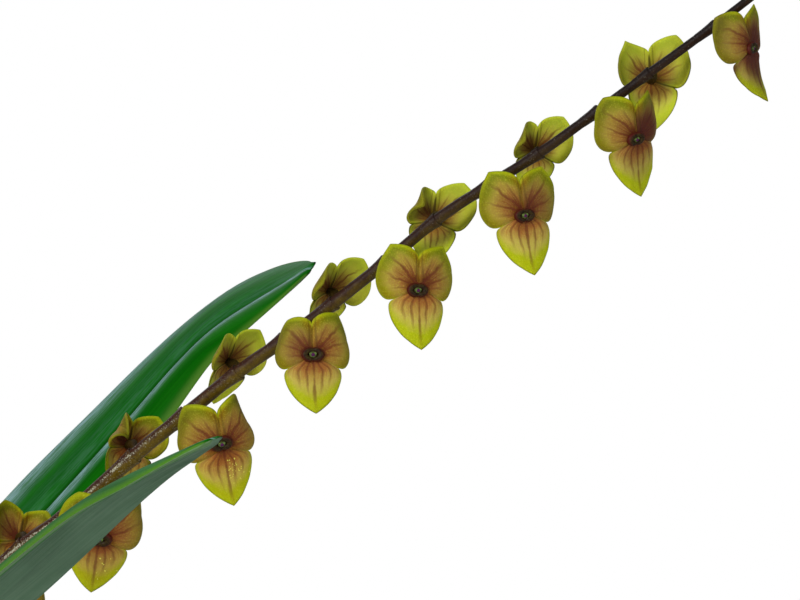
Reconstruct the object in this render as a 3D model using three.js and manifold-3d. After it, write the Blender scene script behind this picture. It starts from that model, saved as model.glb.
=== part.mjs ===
// Stelis superbiens in a terracotta pot: a tuft of leafy stems (ramicauls) stands in bark mix,
// and the stem on the right carries one raceme of flowers in two ranks.
// Millimetres, +Z up. The origin is the middle of the pot's underside, on the surface it stands
// on. +X is the side that the raceme leans to, and -Y faces the viewer.

import * as THREE from 'three';
import { mergeVertices } from 'three/addons/utils/BufferGeometryUtils.js';
import Module from 'manifold-3d';

const wasm = await Module();
wasm.setup();

// Fit between neighbouring pieces
const GAP = 0.3;

// Pot
const POT_HEIGHT = 112;
const POT_FOOT_RADIUS = 43;
const POT_TOP_RADIUS = 57;
const POT_WALL = 6;
const RIM_HEIGHT = 21;
const RIM_PROUD = 3;
const POT_EDGE = 1.5;
const LIP_DEPTH = 4;
const CORNER = 3;
const FLOOR_CURVE = POT_WALL + CORNER;
const POT_SIDES = 36;
const DRAIN_RADIUS = 4.5;
const DRAIN_RING = 24;
const DRAIN_COUNT = 3;

// Potting mix
const MIX_LEVEL = 101;
const MIX_RELIEF = 2.2;
const MIX_CROWN = 2.5;
const MIX_EDGE = 3;
const CHIP_SIZE = 3;
const MIX_RINGS = [0.94, 0.74, 0.52, 0.3, 0.12];
const MIX_SIDES = 32;
const HOLE_DEPTH = 15;
const HOLE_SIDES = 10;
const HOLE_EASE = 0.15;

// Leafy stems: rises are the slopes in degrees of the equal legs that steer each curve, drifts
// turn a leg to the left of the heading, and rolls tip the leaf's upper face to the right at its
// base and at its tip. twist tips it further half way along. widest, taper and arch shape a
// single blade, and take the place of the usual ones below.
const SHOOTS = [
  { foot: [12, 1], heading: 0, stem: 109, stemRises: [58, 47], leaf: 152, width: 22,
    rises: [50, 51, 54, 49, 46, 28], drifts: [12, 14, 17, 17, 0, -36], rolls: [19, 10],
    twist: 23, widest: 0.6, taper: 2.3, arch: 0.53 },
  { foot: [15, -12], heading: -12, stem: 92, stemRises: [64, 47], leaf: 142, width: 23.6,
    rises: [48.2, 48.7, 48.7, 40, 37, 24], drifts: [10, 12, 11, 5, -11, -31], rolls: [8, -14],
    twist: -2, widest: 0.58, taper: 1.6, arch: 0.5 },
  { foot: [8, 14], heading: 38, stem: 88, stemRises: [66, 50], leaf: 120, width: 24,
    rises: [33, 22, 11, -2], drifts: [3, 1, -1, -3], rolls: [6, 6] },
  { foot: [-2, -17], heading: -80, stem: 96, stemRises: [72, 60], leaf: 130, width: 23,
    rises: [49, 43, 36, 28], drifts: [1, 3, 5, 7], rolls: [-10, -10] },
  { foot: [-14, -8], heading: -135, stem: 92, stemRises: [70, 56], leaf: 126, width: 24,
    rises: [47, 39, 30, 20], drifts: [1, -2, -5, -7], rolls: [8, 8] },
  { foot: [-17, 4], heading: 172, stem: 98, stemRises: [68, 54], leaf: 138, width: 25,
    rises: [45, 37, 28, 18], drifts: [-2, 0, 4, 6], rolls: [-6, -6] },
  { foot: [-8, 16], heading: 118, stem: 102, stemRises: [72, 62], leaf: 134, width: 24,
    rises: [53, 47, 39, 31], drifts: [3, 5, 7, 8], rolls: [12, 12] },
  { foot: [2, 7], heading: 75, stem: 112, stemRises: [80, 74], leaf: 140, width: 24,
    rises: [68, 64, 59, 53], drifts: [2, 0, -2, -4], rolls: [-8, -8] },
  { foot: [-6, -4], heading: 200, stem: 116, stemRises: [84, 80], leaf: 142, width: 23,
    rises: [75, 71, 67, 61], drifts: [-4, -5, -6, -7], rolls: [10, 10] },
  { foot: [5, -25], heading: -40, stem: 62, stemRises: [60, 48], leaf: 96, width: 20,
    rises: [34, 25, 16, 7], drifts: [-3, -4, -5, -6], rolls: [5, 5] },
];
const STEM_RADIUS = 1.7;
const STEM_SIDES = 7;
// Rings up a stem: share of its length, radius as a share of STEM_RADIUS, slant of the ring.
// Where the radius steps in, a papery sheath ends in its open, slanting mouth.
const STEM_RINGS = [
  [0, 1.15, 0], [0.16, 1.3, 0], [0.33, 1.5, 1.2], [0.335, 1.05, 1.2], [0.45, 1.15, 0],
  [0.64, 1.35, 1.4], [0.645, 0.92, 1.4], [0.84, 0.86, 0], [1, 1.05, 0],
];

// Leaf blades: a grooved midrib between two arched halves, as a gull's wings
const LEAF_STATIONS = [0, 0.07, 0.15, 0.24, 0.34, 0.46, 0.58, 0.7, 0.81, 0.9, 0.96, 1];
const LEAF_ACROSS = [-1, -0.45, 0, 0.45, 1];
const PETIOLE_HALF_WIDTH = 1.6;
const PETIOLE_THICKNESS = 2.2;
const BLADE_THICKNESS = 1.1;
const WIDEST = 0.5;
const TAPER_POWER = 1.8;
const CREST = 0.42;
const ARCH = 0.85;
const TIP_HALF_WIDTH = 1.9;
const TIP_NOTCH = 1.1;
const LEAF_SET_BACK = 1.25;

// Raceme: its foot stands off the stem's axis, on the leaf's upper side, just clear of the stem's
// top. The stalk has two points up to the lowest flower, and then one point for each node.
const RACEME_SET_OUT = 1.7;
const RACEME_LIFT = 0.7;
const STALK = [[84.5, -3.6, 196], [94, -3.4, 207.5]];
const NODES = [
  [105.2, -1.6, 218.8], [111.6, -0.8, 226.5], [118.2, -0.3, 233.8], [125, 0, 240.7],
  [132.3, 0, 247.3], [139.4, 0, 252.4], [149.2, 0, 261.1], [157.1, 0, 267.5],
  [165.1, 0, 273.9], [172.2, 0, 278.9], [179.9, 0, 284.6], [187.9, 0, 290.9],
  [195.7, 0, 297.4], [203.6, 0, 302.6], [211.6, 0, 307.7], [220.5, 0, 314.1],
  [228.5, 0, 320], [238.5, 0, 327.3],
];
const BUD_SPACINGS = [10.4, 8.6, 7.6, 6.6, 5.6, 4.7, 3.9, 3.2];
const BUD_RISE = 38;
const BUD_RISE_STEP = 1.6;
// Rings of a bud: distance from its foot and radius
const BUD_RINGS = [[0, 0.4], [1.6, 0.5], [2.4, 1.15], [3.9, 1.6], [5.6, 1.2], [6.8, 0.35]];
const RACHIS_FOOT_RADIUS = 1.45;
const RACHIS_TIP_RADIUS = 0.3;
const RACHIS_TAPER = 1.1;
const RACHIS_SIDES = 6;
const BRACT_LENGTH = 0.3;
const BRACT_FLARE = 0.38;

// Flowers, from the lowest node up. offset runs from the node to the flower's middle, and yaw 0
// faces the viewer, so 180 faces away. reach stretches the left, right and lower lobes, as seen
// from the flower's front, and fold adds backward curl to the left and right lobes, and to the
// lower lobe's right flank. tips are the lengths of the points of the left and right lobes, and
// heart moves the button right and up. Every second one, from the second, belongs to the front
// rank.
const FLOWERS = [
  { offset: [-0.6, 5.6, 0.4], yaw: 205, pitch: -20, roll: 8, size: 0.85,
    reach: [1.1, 0.95, 1], fold: [0, 0.06] },
  { offset: [5.4, -5.2, -4.2], yaw: 8, pitch: -4, roll: 4, size: 1,
    reach: [1, 1.05, 0.95], fold: [0, 0.04] },
  { offset: [-0.5, 5.55, 0.3], yaw: 198, pitch: -22, roll: 4, size: 0.84,
    reach: [1.15, 0.9, 0.95], fold: [0.02, 0.1] },
  { offset: [5.6, -5.2, -4], yaw: 15, pitch: 2, roll: -3, size: 0.98,
    reach: [0.95, 1, 1], fold: [0.04, 0] },
  { offset: [-1.7, 5.8, 0.2], yaw: 204, pitch: -29, roll: 17, size: 0.84,
    reach: [0.95, 1, 1], fold: [0.04, 0] },
  { offset: [4.9, -5.2, -3.5], yaw: 3, pitch: -20, roll: -9, size: 1.1,
    reach: [0.75, 1.05, 0.75], fold: [-0.04, 0.04] },
  { offset: [-1.6, 5.5, 1], yaw: 210, pitch: -22, roll: 19, size: 0.77,
    reach: [1.25, 1.05, 1.3], fold: [-0.1, 0.34] },
  { offset: [6, -5.2, -4.9], yaw: 20, pitch: -15, roll: 13, size: 1.03,
    reach: [1.1, 1.1, 0.9], fold: [0.02, 0.1],
    tips: [0, 0.4], heart: [-0.3, 0.8] },
  { offset: [-2, 5.7, 1.5], yaw: 223, pitch: 17, roll: 5, size: 0.75,
    reach: [1.3, 0.8, 1], fold: [-0.06, 0.04] },
  { offset: [4.6, -5.2, -2.4], yaw: 8, pitch: 9, roll: 1, size: 1,
    reach: [0.8, 1, 0.9], fold: [0.06, 0.02],
    tips: [0, 0.5], heart: [-0.1, 0.1] },
  { offset: [-1, 5.7, 1.8], yaw: 218, pitch: 19, roll: 5, size: 0.78,
    reach: [1.3, 0.8, 0.85], fold: [-0.06, 0.1] },
  { offset: [5, -5.2, -4.1], yaw: 18, pitch: 3, roll: -2, size: 0.96,
    reach: [1, 0.9, 1.05], fold: [-0.02, -0.04],
    tips: [0.4, 0.8], heart: [-0.4, -0.4] },
  { offset: [-0.6, 5.3, -0.1], yaw: 189, pitch: -21, roll: 9, size: 0.87,
    reach: [1.2, 0.75, 0.8], fold: [-0.08, 0.32] },
  { offset: [5.3, -5, -4.4], yaw: 20, pitch: 0, roll: 7, size: 0.94,
    reach: [1.1, 1, 1.1], fold: [-0.02, -0.06],
    tips: [0.4, 0.5], heart: [-0.2, -0.4] },
  { offset: [-0.7, 5.2, 0.4], yaw: 197, pitch: 4, roll: 5, size: 0.74,
    reach: [1.3, 0.85, 0.9], fold: [-0.06, 0.16] },
  { offset: [5.5, -4.9, -4.4], yaw: 37, pitch: -16, roll: 14, size: 0.91,
    reach: [1.25, 1, 1.1], fold: [0.02, 0],
    tips: [0, 0.5], heart: [-0.6, 0] },
  { offset: [0.4, 5, -0.9], yaw: 188, pitch: -17, roll: -1, size: 0.9,
    reach: [1.25, 0.85, 0.9], fold: [-0.02, -0.02],
    tips: [0, 0.8] },
  { offset: [4.9, -4.9, -3.8], yaw: 55, pitch: 2, roll: 17, size: 0.81,
    reach: [1.3, 0.9, 1.2], fold: [0.06, -0.12, 0.1],
    tips: [0.4, 0.9], heart: [-0.6, -0.2] },
];

// Flower outline, by angle round the flower from the tip of its lower sepal
const SINUS_ANGLE = 65;
const APEX_ANGLE = 148;
const SEAM_ANGLE = 180;
const SINUS_RADIUS = 3.7;
const LOWER_APEX_RADIUS = 9.7;
const UPPER_APEX_RADIUS = 8.3;
const SEAM_RADIUS = 5.1;
const TIP_SPREAD = 7;
const FLAT_RADIUS = 2;
const CURL_POWER = 1.15;
// Backward curl per millimetre at angles round the half flower
const CURLS = [
  [0, -0.03], [12, -0.02], [30, 0.03], [50, 0.15], [65, 0.25], [82, 0.22], [97, 0.2],
  [115, 0.18], [130, 0.14], [148, 0.085], [165, 0.04], [180, 0.01],
];
const LOBE_FOLD_ANGLE = 122;
const LOBE_FOLD_SPREAD = 34;
const FLANK_FOLD_ANGLE = 42;
const FLANK_FOLD_SPREAD = 16;
const VALLEY_DEPTH = 0.5;
const VALLEY_SPREAD = 9;
const SEPAL_THICKNESS = 0.6;
const THROAT_RADIUS = 1.15;
const HALF_ANGLES = [0, 24, 46, 65, 78, 100, 124, 148, 166, 180];
const SEPAL_BANDS = [0.45, 0.75, 1];

// Flower stalk, ovary and the dark button of petals, lip and column, along the flower's axis:
// distance in front of the sepals, half width, half height
const BUTTON = [
  [-0.6, 0.82, 0.82], [0.72, 0.8, 0.72], [0.86, 1.62, 1.12], [1.5, 1.5, 1.0],
  [1.2, 0.8, 0.58], [1.9, 0.62, 0.45],
];
const BUTTON_NECK = 0.8;
const STALKLET_RADIUS = 0.5;
const OVARY_RADIUS = 0.8;
const STALKLET_SIDES = 7;

const rad = THREE.MathUtils.degToRad;
const vec = (x, y, z) => new THREE.Vector3(x, y, z);
const up = vec(0, 0, 1);

// A mesh from points and triangles, turned so that it faces outward
function meshOf(points, faces) {
  const geometry = new THREE.BufferGeometry();
  geometry.setAttribute('position',
    new THREE.Float32BufferAttribute(points.flatMap((p) => [p.x, p.y, p.z]), 3));
  let volume = 0;
  for (const [a, b, c] of faces) {
    volume += points[a].dot(vec(0, 0, 0).crossVectors(points[b], points[c]));
  }
  const outward = volume > 0 ? faces : faces.map(([a, b, c]) => [a, c, b]);
  geometry.setIndex(outward.flat());
  return geometry;
}

// Rings of equal count, joined one to the next, each end closed by a fan round its middle
function loft(rings) {
  const n = rings[0].length;
  const points = rings.flat();
  const faces = [];
  for (let i = 0; i + 1 < rings.length; i += 1) {
    for (let j = 0; j < n; j += 1) {
      const a = i * n + j;
      const b = i * n + ((j + 1) % n);
      faces.push([a, b, b + n], [a, b + n, a + n]);
    }
  }
  for (const [ring, start, flip] of [[rings[0], 0, true], [rings.at(-1), points.length - n, false]]) {
    const middle = ring.reduce((sum, p) => sum.add(p), vec(0, 0, 0)).divideScalar(n);
    const centre = points.push(middle) - 1;
    for (let j = 0; j < n; j += 1) {
      const a = start + j;
      const b = start + ((j + 1) % n);
      faces.push(flip ? [b, a, centre] : [a, b, centre]);
    }
  }
  return meshOf(points, faces);
}

// A plate between a front and a back grid that are split alike. wraps joins the last column
// to the first, as round a flower.
function plate(front, back, wraps) {
  const rows = front.length;
  const cols = front[0].length;
  const points = [...front.flat(), ...back.flat()];
  const other = rows * cols;
  const faces = [];
  const spans = wraps ? cols : cols - 1;
  for (let i = 0; i + 1 < rows; i += 1) {
    for (let j = 0; j < spans; j += 1) {
      const a = i * cols + j;
      const b = i * cols + ((j + 1) % cols);
      faces.push([a, b, b + cols], [a, b + cols, a + cols]);
      faces.push([other + a, other + b + cols, other + b], [other + a, other + a + cols, other + b + cols]);
    }
  }
  const wall = (a, b) => faces.push([b, a, other + a], [b, other + a, other + b]);
  for (let j = 0; j < spans; j += 1) {
    const next = (j + 1) % cols;
    wall(j, next);
    wall((rows - 1) * cols + next, (rows - 1) * cols + j);
  }
  if (!wraps) {
    for (let i = 0; i + 1 < rows; i += 1) {
      wall((i + 1) * cols, i * cols);
      wall(i * cols + cols - 1, (i + 1) * cols + cols - 1);
    }
  }
  return meshOf(points, faces);
}

// An elliptical ring of points about a centre, in the plane of two axes, with a slant along a
// third that lifts one side and lowers the other
function ringOf(centre, side, top, wide, high, sides, along = up, slant = 0) {
  return Array.from({ length: sides }, (_, k) => {
    const angle = (2 * Math.PI * (k + 0.5)) / sides;
    return centre.clone()
      .addScaledVector(side, wide * Math.cos(angle))
      .addScaledVector(top, high * Math.sin(angle))
      .addScaledVector(along, slant * Math.sin(angle));
  });
}

// Two axes square to a direction, the second as near as can be to a wanted one
function axesAcross(direction, wanted) {
  const top = wanted.clone().addScaledVector(direction, -wanted.dot(direction)).normalize();
  return [vec(0, 0, 0).crossVectors(top, direction).normalize(), top];
}

function solidOf(geometry) {
  const bare = new THREE.BufferGeometry();
  bare.setAttribute('position', geometry.getAttribute('position'));
  bare.setIndex(geometry.getIndex());
  const merged = mergeVertices(bare, 1e-4);
  return new wasm.Manifold(new wasm.Mesh({
    numProp: 3,
    vertProperties: new Float32Array(merged.getAttribute('position').array),
    triVerts: new Uint32Array(merged.getIndex().array),
  }));
}

function geometryOf(solid) {
  const mesh = solid.getMesh();
  const geometry = new THREE.BufferGeometry();
  geometry.setAttribute('position', new THREE.BufferAttribute(mesh.vertProperties, 3));
  geometry.setIndex(new THREE.BufferAttribute(mesh.triVerts, 1));
  return geometry;
}

// A value between 0 and 1 that repeats for the same number
function wobble(number) {
  const value = Math.sin(number * 12.9898 + 4.1414) * 43758.5453;
  return value - Math.floor(value);
}

// Radius of the pot's inner wall at a height
function bore(height) {
  const outside = POT_FOOT_RADIUS + ((POT_TOP_RADIUS - POT_FOOT_RADIUS) * height) / POT_HEIGHT;
  return outside - POT_WALL;
}

function potGeometry() {
  const rimFoot = POT_HEIGHT - RIM_HEIGHT;
  const at = (height) => bore(height) + POT_WALL;
  const outline = [
    [0, 0], [POT_FOOT_RADIUS - POT_EDGE, 0], [POT_FOOT_RADIUS, POT_EDGE], [at(rimFoot), rimFoot],
    [at(rimFoot) + RIM_PROUD, rimFoot + POT_EDGE],
    [POT_TOP_RADIUS + RIM_PROUD, POT_HEIGHT - 2 * POT_EDGE],
    [POT_TOP_RADIUS + RIM_PROUD - POT_EDGE, POT_HEIGHT - 0.3 * POT_EDGE], [POT_TOP_RADIUS, POT_HEIGHT],
    [bore(POT_HEIGHT) + POT_EDGE, POT_HEIGHT - POT_EDGE],
    [bore(POT_HEIGHT - LIP_DEPTH), POT_HEIGHT - LIP_DEPTH],
    [bore(FLOOR_CURVE), FLOOR_CURVE], [bore(POT_WALL) - CORNER, POT_WALL], [0, POT_WALL],
  ].map(([x, y]) => new THREE.Vector2(x, y));
  const lathe = new THREE.LatheGeometry(outline, POT_SIDES);
  lathe.rotateX(Math.PI / 2);
  let pot = solidOf(lathe);
  for (let k = 0; k < DRAIN_COUNT; k += 1) {
    const drain = new THREE.CylinderGeometry(DRAIN_RADIUS, DRAIN_RADIUS, 3 * POT_WALL, HOLE_SIDES);
    drain.rotateX(Math.PI / 2);
    const angle = rad(90 + (360 * k) / DRAIN_COUNT);
    drain.translate(DRAIN_RING * Math.cos(angle), DRAIN_RING * Math.sin(angle), POT_WALL / 2);
    pot = pot.subtract(solidOf(drain));
  }
  return geometryOf(pot);
}

// Height of the mix's chunky top at a place
function mixHeight(x, y) {
  const lumps = Math.sin(x * 0.55 + 1.3) * Math.cos(y * 0.62 - 0.4) + Math.sin((x - y) * 0.83) * 0.6;
  const grain = wobble(Math.round(x / CHIP_SIZE) * 7.1 + Math.round(y / CHIP_SIZE) * 3.7) - 0.5;
  const crown = MIX_CROWN * (1 - (x * x + y * y) / (bore(MIX_LEVEL) * bore(MIX_LEVEL)));
  return MIX_LEVEL + crown + MIX_RELIEF * (0.35 * lumps + 0.8 * grain);
}

function mixGeometry() {
  const circle = (radius, height) => Array.from({ length: MIX_SIDES }, (_, k) => {
    const angle = (2 * Math.PI * k) / MIX_SIDES;
    const x = radius * Math.cos(angle);
    const y = radius * Math.sin(angle);
    return vec(x, y, height === undefined ? mixHeight(x, y) : height);
  });
  const flats = Math.cos(Math.PI / POT_SIDES);
  const wide = (height) => (bore(height) - GAP) * flats - GAP;
  const rings = [
    circle(wide(POT_WALL) - CORNER, POT_WALL + GAP),
    circle(wide(FLOOR_CURVE), FLOOR_CURVE + GAP),
    circle(wide(MIX_LEVEL - MIX_EDGE), MIX_LEVEL - MIX_EDGE),
    ...MIX_RINGS.map((share) => circle(wide(MIX_LEVEL) * share)),
  ];
  let mix = solidOf(loft(rings));
  for (const shoot of SHOOTS) {
    const [foot, start] = stemStart(shoot);
    const hole = [-HOLE_DEPTH - GAP, HOLE_DEPTH].map((along) => {
      const [side, top] = axesAcross(start, vec(0, 1, 0));
      const radius = (STEM_RADIUS * STEM_RINGS[0][1] + GAP) / Math.cos(Math.PI / HOLE_SIDES) + HOLE_EASE;
      return ringOf(foot.clone().addScaledVector(start, along), side, top, radius, radius, HOLE_SIDES);
    });
    mix = mix.subtract(solidOf(loft(hole)));
  }
  return geometryOf(mix);
}

// A direction from a heading and a rise, turned to the left by a drift, all in degrees
function direction(heading, rise, drift = 0) {
  const out = vec(Math.cos(rad(heading)), Math.sin(rad(heading)), 0);
  const left = vec(-out.y, out.x, 0);
  return out.multiplyScalar(Math.cos(rad(rise)) * Math.cos(rad(drift)))
    .addScaledVector(left, Math.sin(rad(drift)))
    .addScaledVector(up, Math.sin(rad(rise)) * Math.cos(rad(drift)));
}

// Where a stem leaves the mix, and its direction there
function stemStart({ foot, heading, stemRises }) {
  return [vec(foot[0], foot[1], MIX_LEVEL), direction(heading, stemRises[0])];
}

// Points reached by walking equal legs, for the curve that they steer
function walked(start, legs, length) {
  const points = [start.clone()];
  for (const leg of legs) {
    points.push(points.at(-1).clone().addScaledVector(leg, length / legs.length));
  }
  return points;
}

function stemCurve(shoot) {
  const [foot] = stemStart(shoot);
  const legs = shoot.stemRises.map((rise) => direction(shoot.heading, rise));
  return new THREE.QuadraticBezierCurve3(...walked(foot, legs, shoot.stem));
}

function stemGeometry(shoot) {
  const curve = stemCurve(shoot);
  const [foot, start] = stemStart(shoot);
  const wanted = direction(shoot.heading + 90, 0);
  const [side, top] = axesAcross(start, wanted);
  const buried = foot.clone().addScaledVector(start, -HOLE_DEPTH);
  const footRadius = STEM_RADIUS * STEM_RINGS[0][1];
  const rings = [ringOf(buried, side, top, footRadius, footRadius, STEM_SIDES)];
  STEM_RINGS.forEach(([share, thick, slant]) => {
    const along = curve.getTangent(share);
    const [s, t] = axesAcross(along, wanted);
    const radius = STEM_RADIUS * thick;
    rings.push(ringOf(curve.getPoint(share), s, t, radius, radius, STEM_SIDES, along, slant));
  });
  return loft(rings);
}

// Half the blade's width at a share of its length
function leafHalfWidth(share, { width, widest = WIDEST, taper = TAPER_POWER }) {
  const full = width / 2;
  if (share < widest) {
    const rise = share / widest;
    const eased = rise ** 1.7 * (2.3 - 1.3 * rise);
    return PETIOLE_HALF_WIDTH + (full - PETIOLE_HALF_WIDTH) * eased;
  }
  const fall = (share - widest) / (1 - widest);
  return Math.max(TIP_HALF_WIDTH, full * Math.sqrt(1 - fall ** taper));
}

// The leaf's midrib starts at its seat, just clear of the stem's top. On the flowering stem it
// starts to the back of the stem's axis, which leaves room for the raceme's foot.
function leafCurve(shoot) {
  const legs = shoot.rises.map((rise, k) => direction(shoot.heading, rise, shoot.drifts[k]));
  const start = stemCurve(shoot).getPoint(1).addScaledVector(stemCurve(shoot).getTangent(1), GAP + 0.05);
  if (shoot === SHOOTS[0]) start.addScaledVector(leafAxes(shoot, legs[0], 0)[1], -LEAF_SET_BACK);
  return new THREE.CatmullRomCurve3(walked(start, legs, shoot.leaf), false, 'catmullrom', 0.5);
}

function leafAxes(shoot, along, share) {
  const out = direction(shoot.heading, 0);
  const left = direction(shoot.heading + 90, 0);
  const wanted = up.clone().sub(out);
  const [side, face] = axesAcross(along, wanted);
  const [rollFoot, rollTip] = shoot.rolls;
  const twisted = (shoot.twist ?? 0) * 4 * share * (1 - share);
  const roll = rad(rollFoot + (rollTip - rollFoot) * share + twisted) * -Math.sign(side.dot(left));
  const turned = face.clone().multiplyScalar(Math.cos(roll)).addScaledVector(side, Math.sin(roll));
  return [vec(0, 0, 0).crossVectors(turned, along).normalize(), turned];
}

function leafGeometry(shoot) {
  const curve = leafCurve(shoot);
  const { arch = ARCH } = shoot;
  const front = [];
  const back = [];
  for (const share of LEAF_STATIONS) {
    const along = share ? curve.getTangent(share) : stemCurve(shoot).getTangent(1);
    const [side, face] = leafAxes(shoot, along, share);
    const half = leafHalfWidth(share, shoot);
    const grown = Math.min(1, share / 0.3);
    const tip = Math.max(0, (share - 0.9) / 0.1);
    const thick = PETIOLE_THICKNESS + (BLADE_THICKNESS - PETIOLE_THICKNESS) * grown;
    const middles = LEAF_ACROSS.map((v) => {
      const away = Math.abs(v);
      const lift = -arch * half * (away - CREST) ** 2 * (1 - 0.6 * tip);
      const slope = -2 * arch * (away - CREST) * Math.sign(v) * (1 - 0.6 * tip);
      const notch = -TIP_NOTCH * tip * (v === 0 ? 1 : (away - 0.45) * 1.2);
      const normal = face.clone().addScaledVector(side, -slope).normalize();
      const middle = curve.getPoint(share)
        .addScaledVector(side, v * half)
        .addScaledVector(face, lift)
        .addScaledVector(along, notch);
      return [middle, normal, (thick * (1 - 0.35 * away * grown)) / 2];
    });
    front.push(middles.map(([m, n, t]) => m.clone().addScaledVector(n, t)));
    back.push(middles.map(([m, n, t]) => m.clone().addScaledVector(n, -t)));
  }
  return plate(front, back, false);
}

// Points of the raceme's axis: its foot stands on the top of the flowering stem
function racemePoints() {
  const shoot = SHOOTS[0];
  const apex = stemCurve(shoot).getPoint(1);
  const along = stemCurve(shoot).getTangent(1);
  const [, face] = leafAxes(shoot, along, 0);
  const foot = apex.clone().addScaledVector(along, RACEME_LIFT).addScaledVector(face, RACEME_SET_OUT);
  const points = [foot, ...STALK.map((p) => vec(...p)), ...NODES.map((p) => vec(...p))];
  let rise = BUD_RISE;
  for (const spacing of BUD_SPACINGS) {
    points.push(points.at(-1).clone().addScaledVector(direction(0, rise), spacing));
    rise += BUD_RISE_STEP;
  }
  return points;
}

const racemeAxis = new THREE.CatmullRomCurve3(racemePoints(), false, 'catmullrom', 0.5);
const FIRST_NODE = 1 + STALK.length;

// The share of the curve at a point's number, with a fraction for a place in the next span
const shareAt = (number) => number / (racemeAxis.points.length - 1);

function rachisRadius(share) {
  return RACHIS_FOOT_RADIUS + (RACHIS_TIP_RADIUS - RACHIS_FOOT_RADIUS) * share ** RACHIS_TAPER;
}

function rachisSolid() {
  const rings = [];
  const add = (number, extra, slant) => {
    const share = shareAt(number);
    const along = racemeAxis.getTangent(share);
    const [side, top] = axesAcross(along, vec(0, -1, 0));
    const radius = rachisRadius(share) + extra;
    rings.push(ringOf(racemeAxis.getPoint(share), side, top, radius, radius, RACHIS_SIDES, along, slant));
  };
  const last = racemeAxis.points.length - 1;
  add(0, 0, 0);
  add(0.5, 0, 0);
  for (let k = 1; k < last; k += 1) {
    const slant = (k % 2 ? -1 : 1) * 0.35;
    add(k - BRACT_LENGTH, 0.04, 0);
    add(k, BRACT_FLARE * (1 - 0.4 * shareAt(k)), slant);
    add(k + 0.03, 0, slant);
    add(k + 0.4, 0, 0);
  }
  add(last, -0.1, 0);
  return solidOf(loft(rings));
}

// The frame of a flower: its right, its top and the way it faces
function flowerAxes({ yaw, pitch, roll }) {
  const [y, p, r] = [rad(yaw), rad(pitch), rad(roll)];
  const facing = vec(Math.sin(y) * Math.cos(p), -Math.cos(y) * Math.cos(p), Math.sin(p));
  const level = vec(Math.cos(y), Math.sin(y), 0);
  const upright = vec(0, 0, 0).crossVectors(facing, level);
  const right = level.clone().multiplyScalar(Math.cos(r)).addScaledVector(upright, Math.sin(r));
  const top = upright.clone().multiplyScalar(Math.cos(r)).addScaledVector(level, -Math.sin(r));
  return [right, top, facing];
}

function flowerCentre(flower, k) {
  return vec(...NODES[k]).add(vec(...flower.offset));
}

// Stalklet, ovary and button of one flower, from inside the rachis through the sepals' throat
function stalkletSolid(flower, k) {
  const [right, top, facing] = flowerAxes(flower);
  const centre = flowerCentre(flower, k);
  const node = vec(...NODES[k]);
  const behind = (distance) => centre.clone().addScaledVector(facing, -distance * flower.size);
  const curve = new THREE.CubicBezierCurve3(
    node, node.clone().lerp(centre, 0.3), behind(3.6), behind(1.4));
  const rings = [[0, STALKLET_RADIUS], [0.45, STALKLET_RADIUS], [0.8, OVARY_RADIUS]].map(
    ([share, radius]) => {
      const [s, t] = axesAcross(curve.getTangent(share), top);
      return ringOf(curve.getPoint(share), s, t, radius, radius, STALKLET_SIDES);
    });
  const [aside, above] = flower.heart ?? [0, 0];
  for (const [along, wide, high] of BUTTON) {
    const set = along > BUTTON_NECK ? flower.size : 0;
    const middle = behind(-along).addScaledVector(right, aside * set).addScaledVector(top, above * set);
    rings.push(ringOf(middle, right, top, wide * flower.size, high * flower.size, STALKLET_SIDES));
  }
  return solidOf(loft(rings));
}

// A closed bud on the rachis, smaller towards the tip
function budSolid(k) {
  const number = FIRST_NODE + NODES.length + k;
  const share = shareAt(number);
  const node = racemeAxis.getPoint(share);
  const size = 1 - k / (BUD_SPACINGS.length + 1.5);
  const outward = (k % 2 ? vec(0.45, -0.75, -0.35) : vec(-0.2, 0.85, 0.25))
    .addScaledVector(racemeAxis.getTangent(share), 0.9).normalize();
  const [side, top] = axesAcross(outward, up);
  return solidOf(loft(BUD_RINGS.map(([along, radius]) => ringOf(
    node.clone().addScaledVector(outward, along * size),
    side, top, radius * size, radius * size, RACHIS_SIDES))));
}

function racemeGeometry() {
  let raceme = rachisSolid();
  FLOWERS.forEach((flower, k) => {
    raceme = raceme.add(stalkletSolid(flower, k));
  });
  for (let k = 0; k + 1 < BUD_SPACINGS.length; k += 1) {
    raceme = raceme.add(budSolid(k));
  }
  return geometryOf(raceme);
}

// A bell curve of height 1 at its middle
const bell = (value, middle, spread) => Math.exp(-(((value - middle) / spread) ** 2));

// Distance from the flower's middle to its flat outline at an angle from the lower tip, which
// runs below zero on the flower's left
function outlineRadius(angle, { reach: [left, right, lower], tips = [0, 0] }) {
  const a = Math.abs(angle);
  if (a < SINUS_ANGLE) {
    const u = a / SINUS_ANGLE;
    const taper = (1 - 1.22 * u + 0.6 * u * u) * Math.sqrt(1 - u ** 10);
    return SINUS_RADIUS + (LOWER_APEX_RADIUS - SINUS_RADIUS) * lower * taper;
  }
  const apex = SINUS_RADIUS + (UPPER_APEX_RADIUS - SINUS_RADIUS) * (angle < 0 ? left : right);
  const point = tips[angle < 0 ? 0 : 1] * Math.exp(-Math.abs(a - APEX_ANGLE) / TIP_SPREAD);
  if (a < APEX_ANGLE) {
    const v = (APEX_ANGLE - a) / (APEX_ANGLE - SINUS_ANGLE);
    return SINUS_RADIUS + (apex - SINUS_RADIUS) * (1 - 0.14 * v) * Math.sqrt(1 - v ** 5) + point;
  }
  const w = Math.min(1, (a - APEX_ANGLE) / (SEAM_ANGLE - APEX_ANGLE));
  return SEAM_RADIUS + (apex - SEAM_RADIUS) * (1 - 0.8 * w) * Math.sqrt(1 - w ** 8) + point;
}

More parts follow.
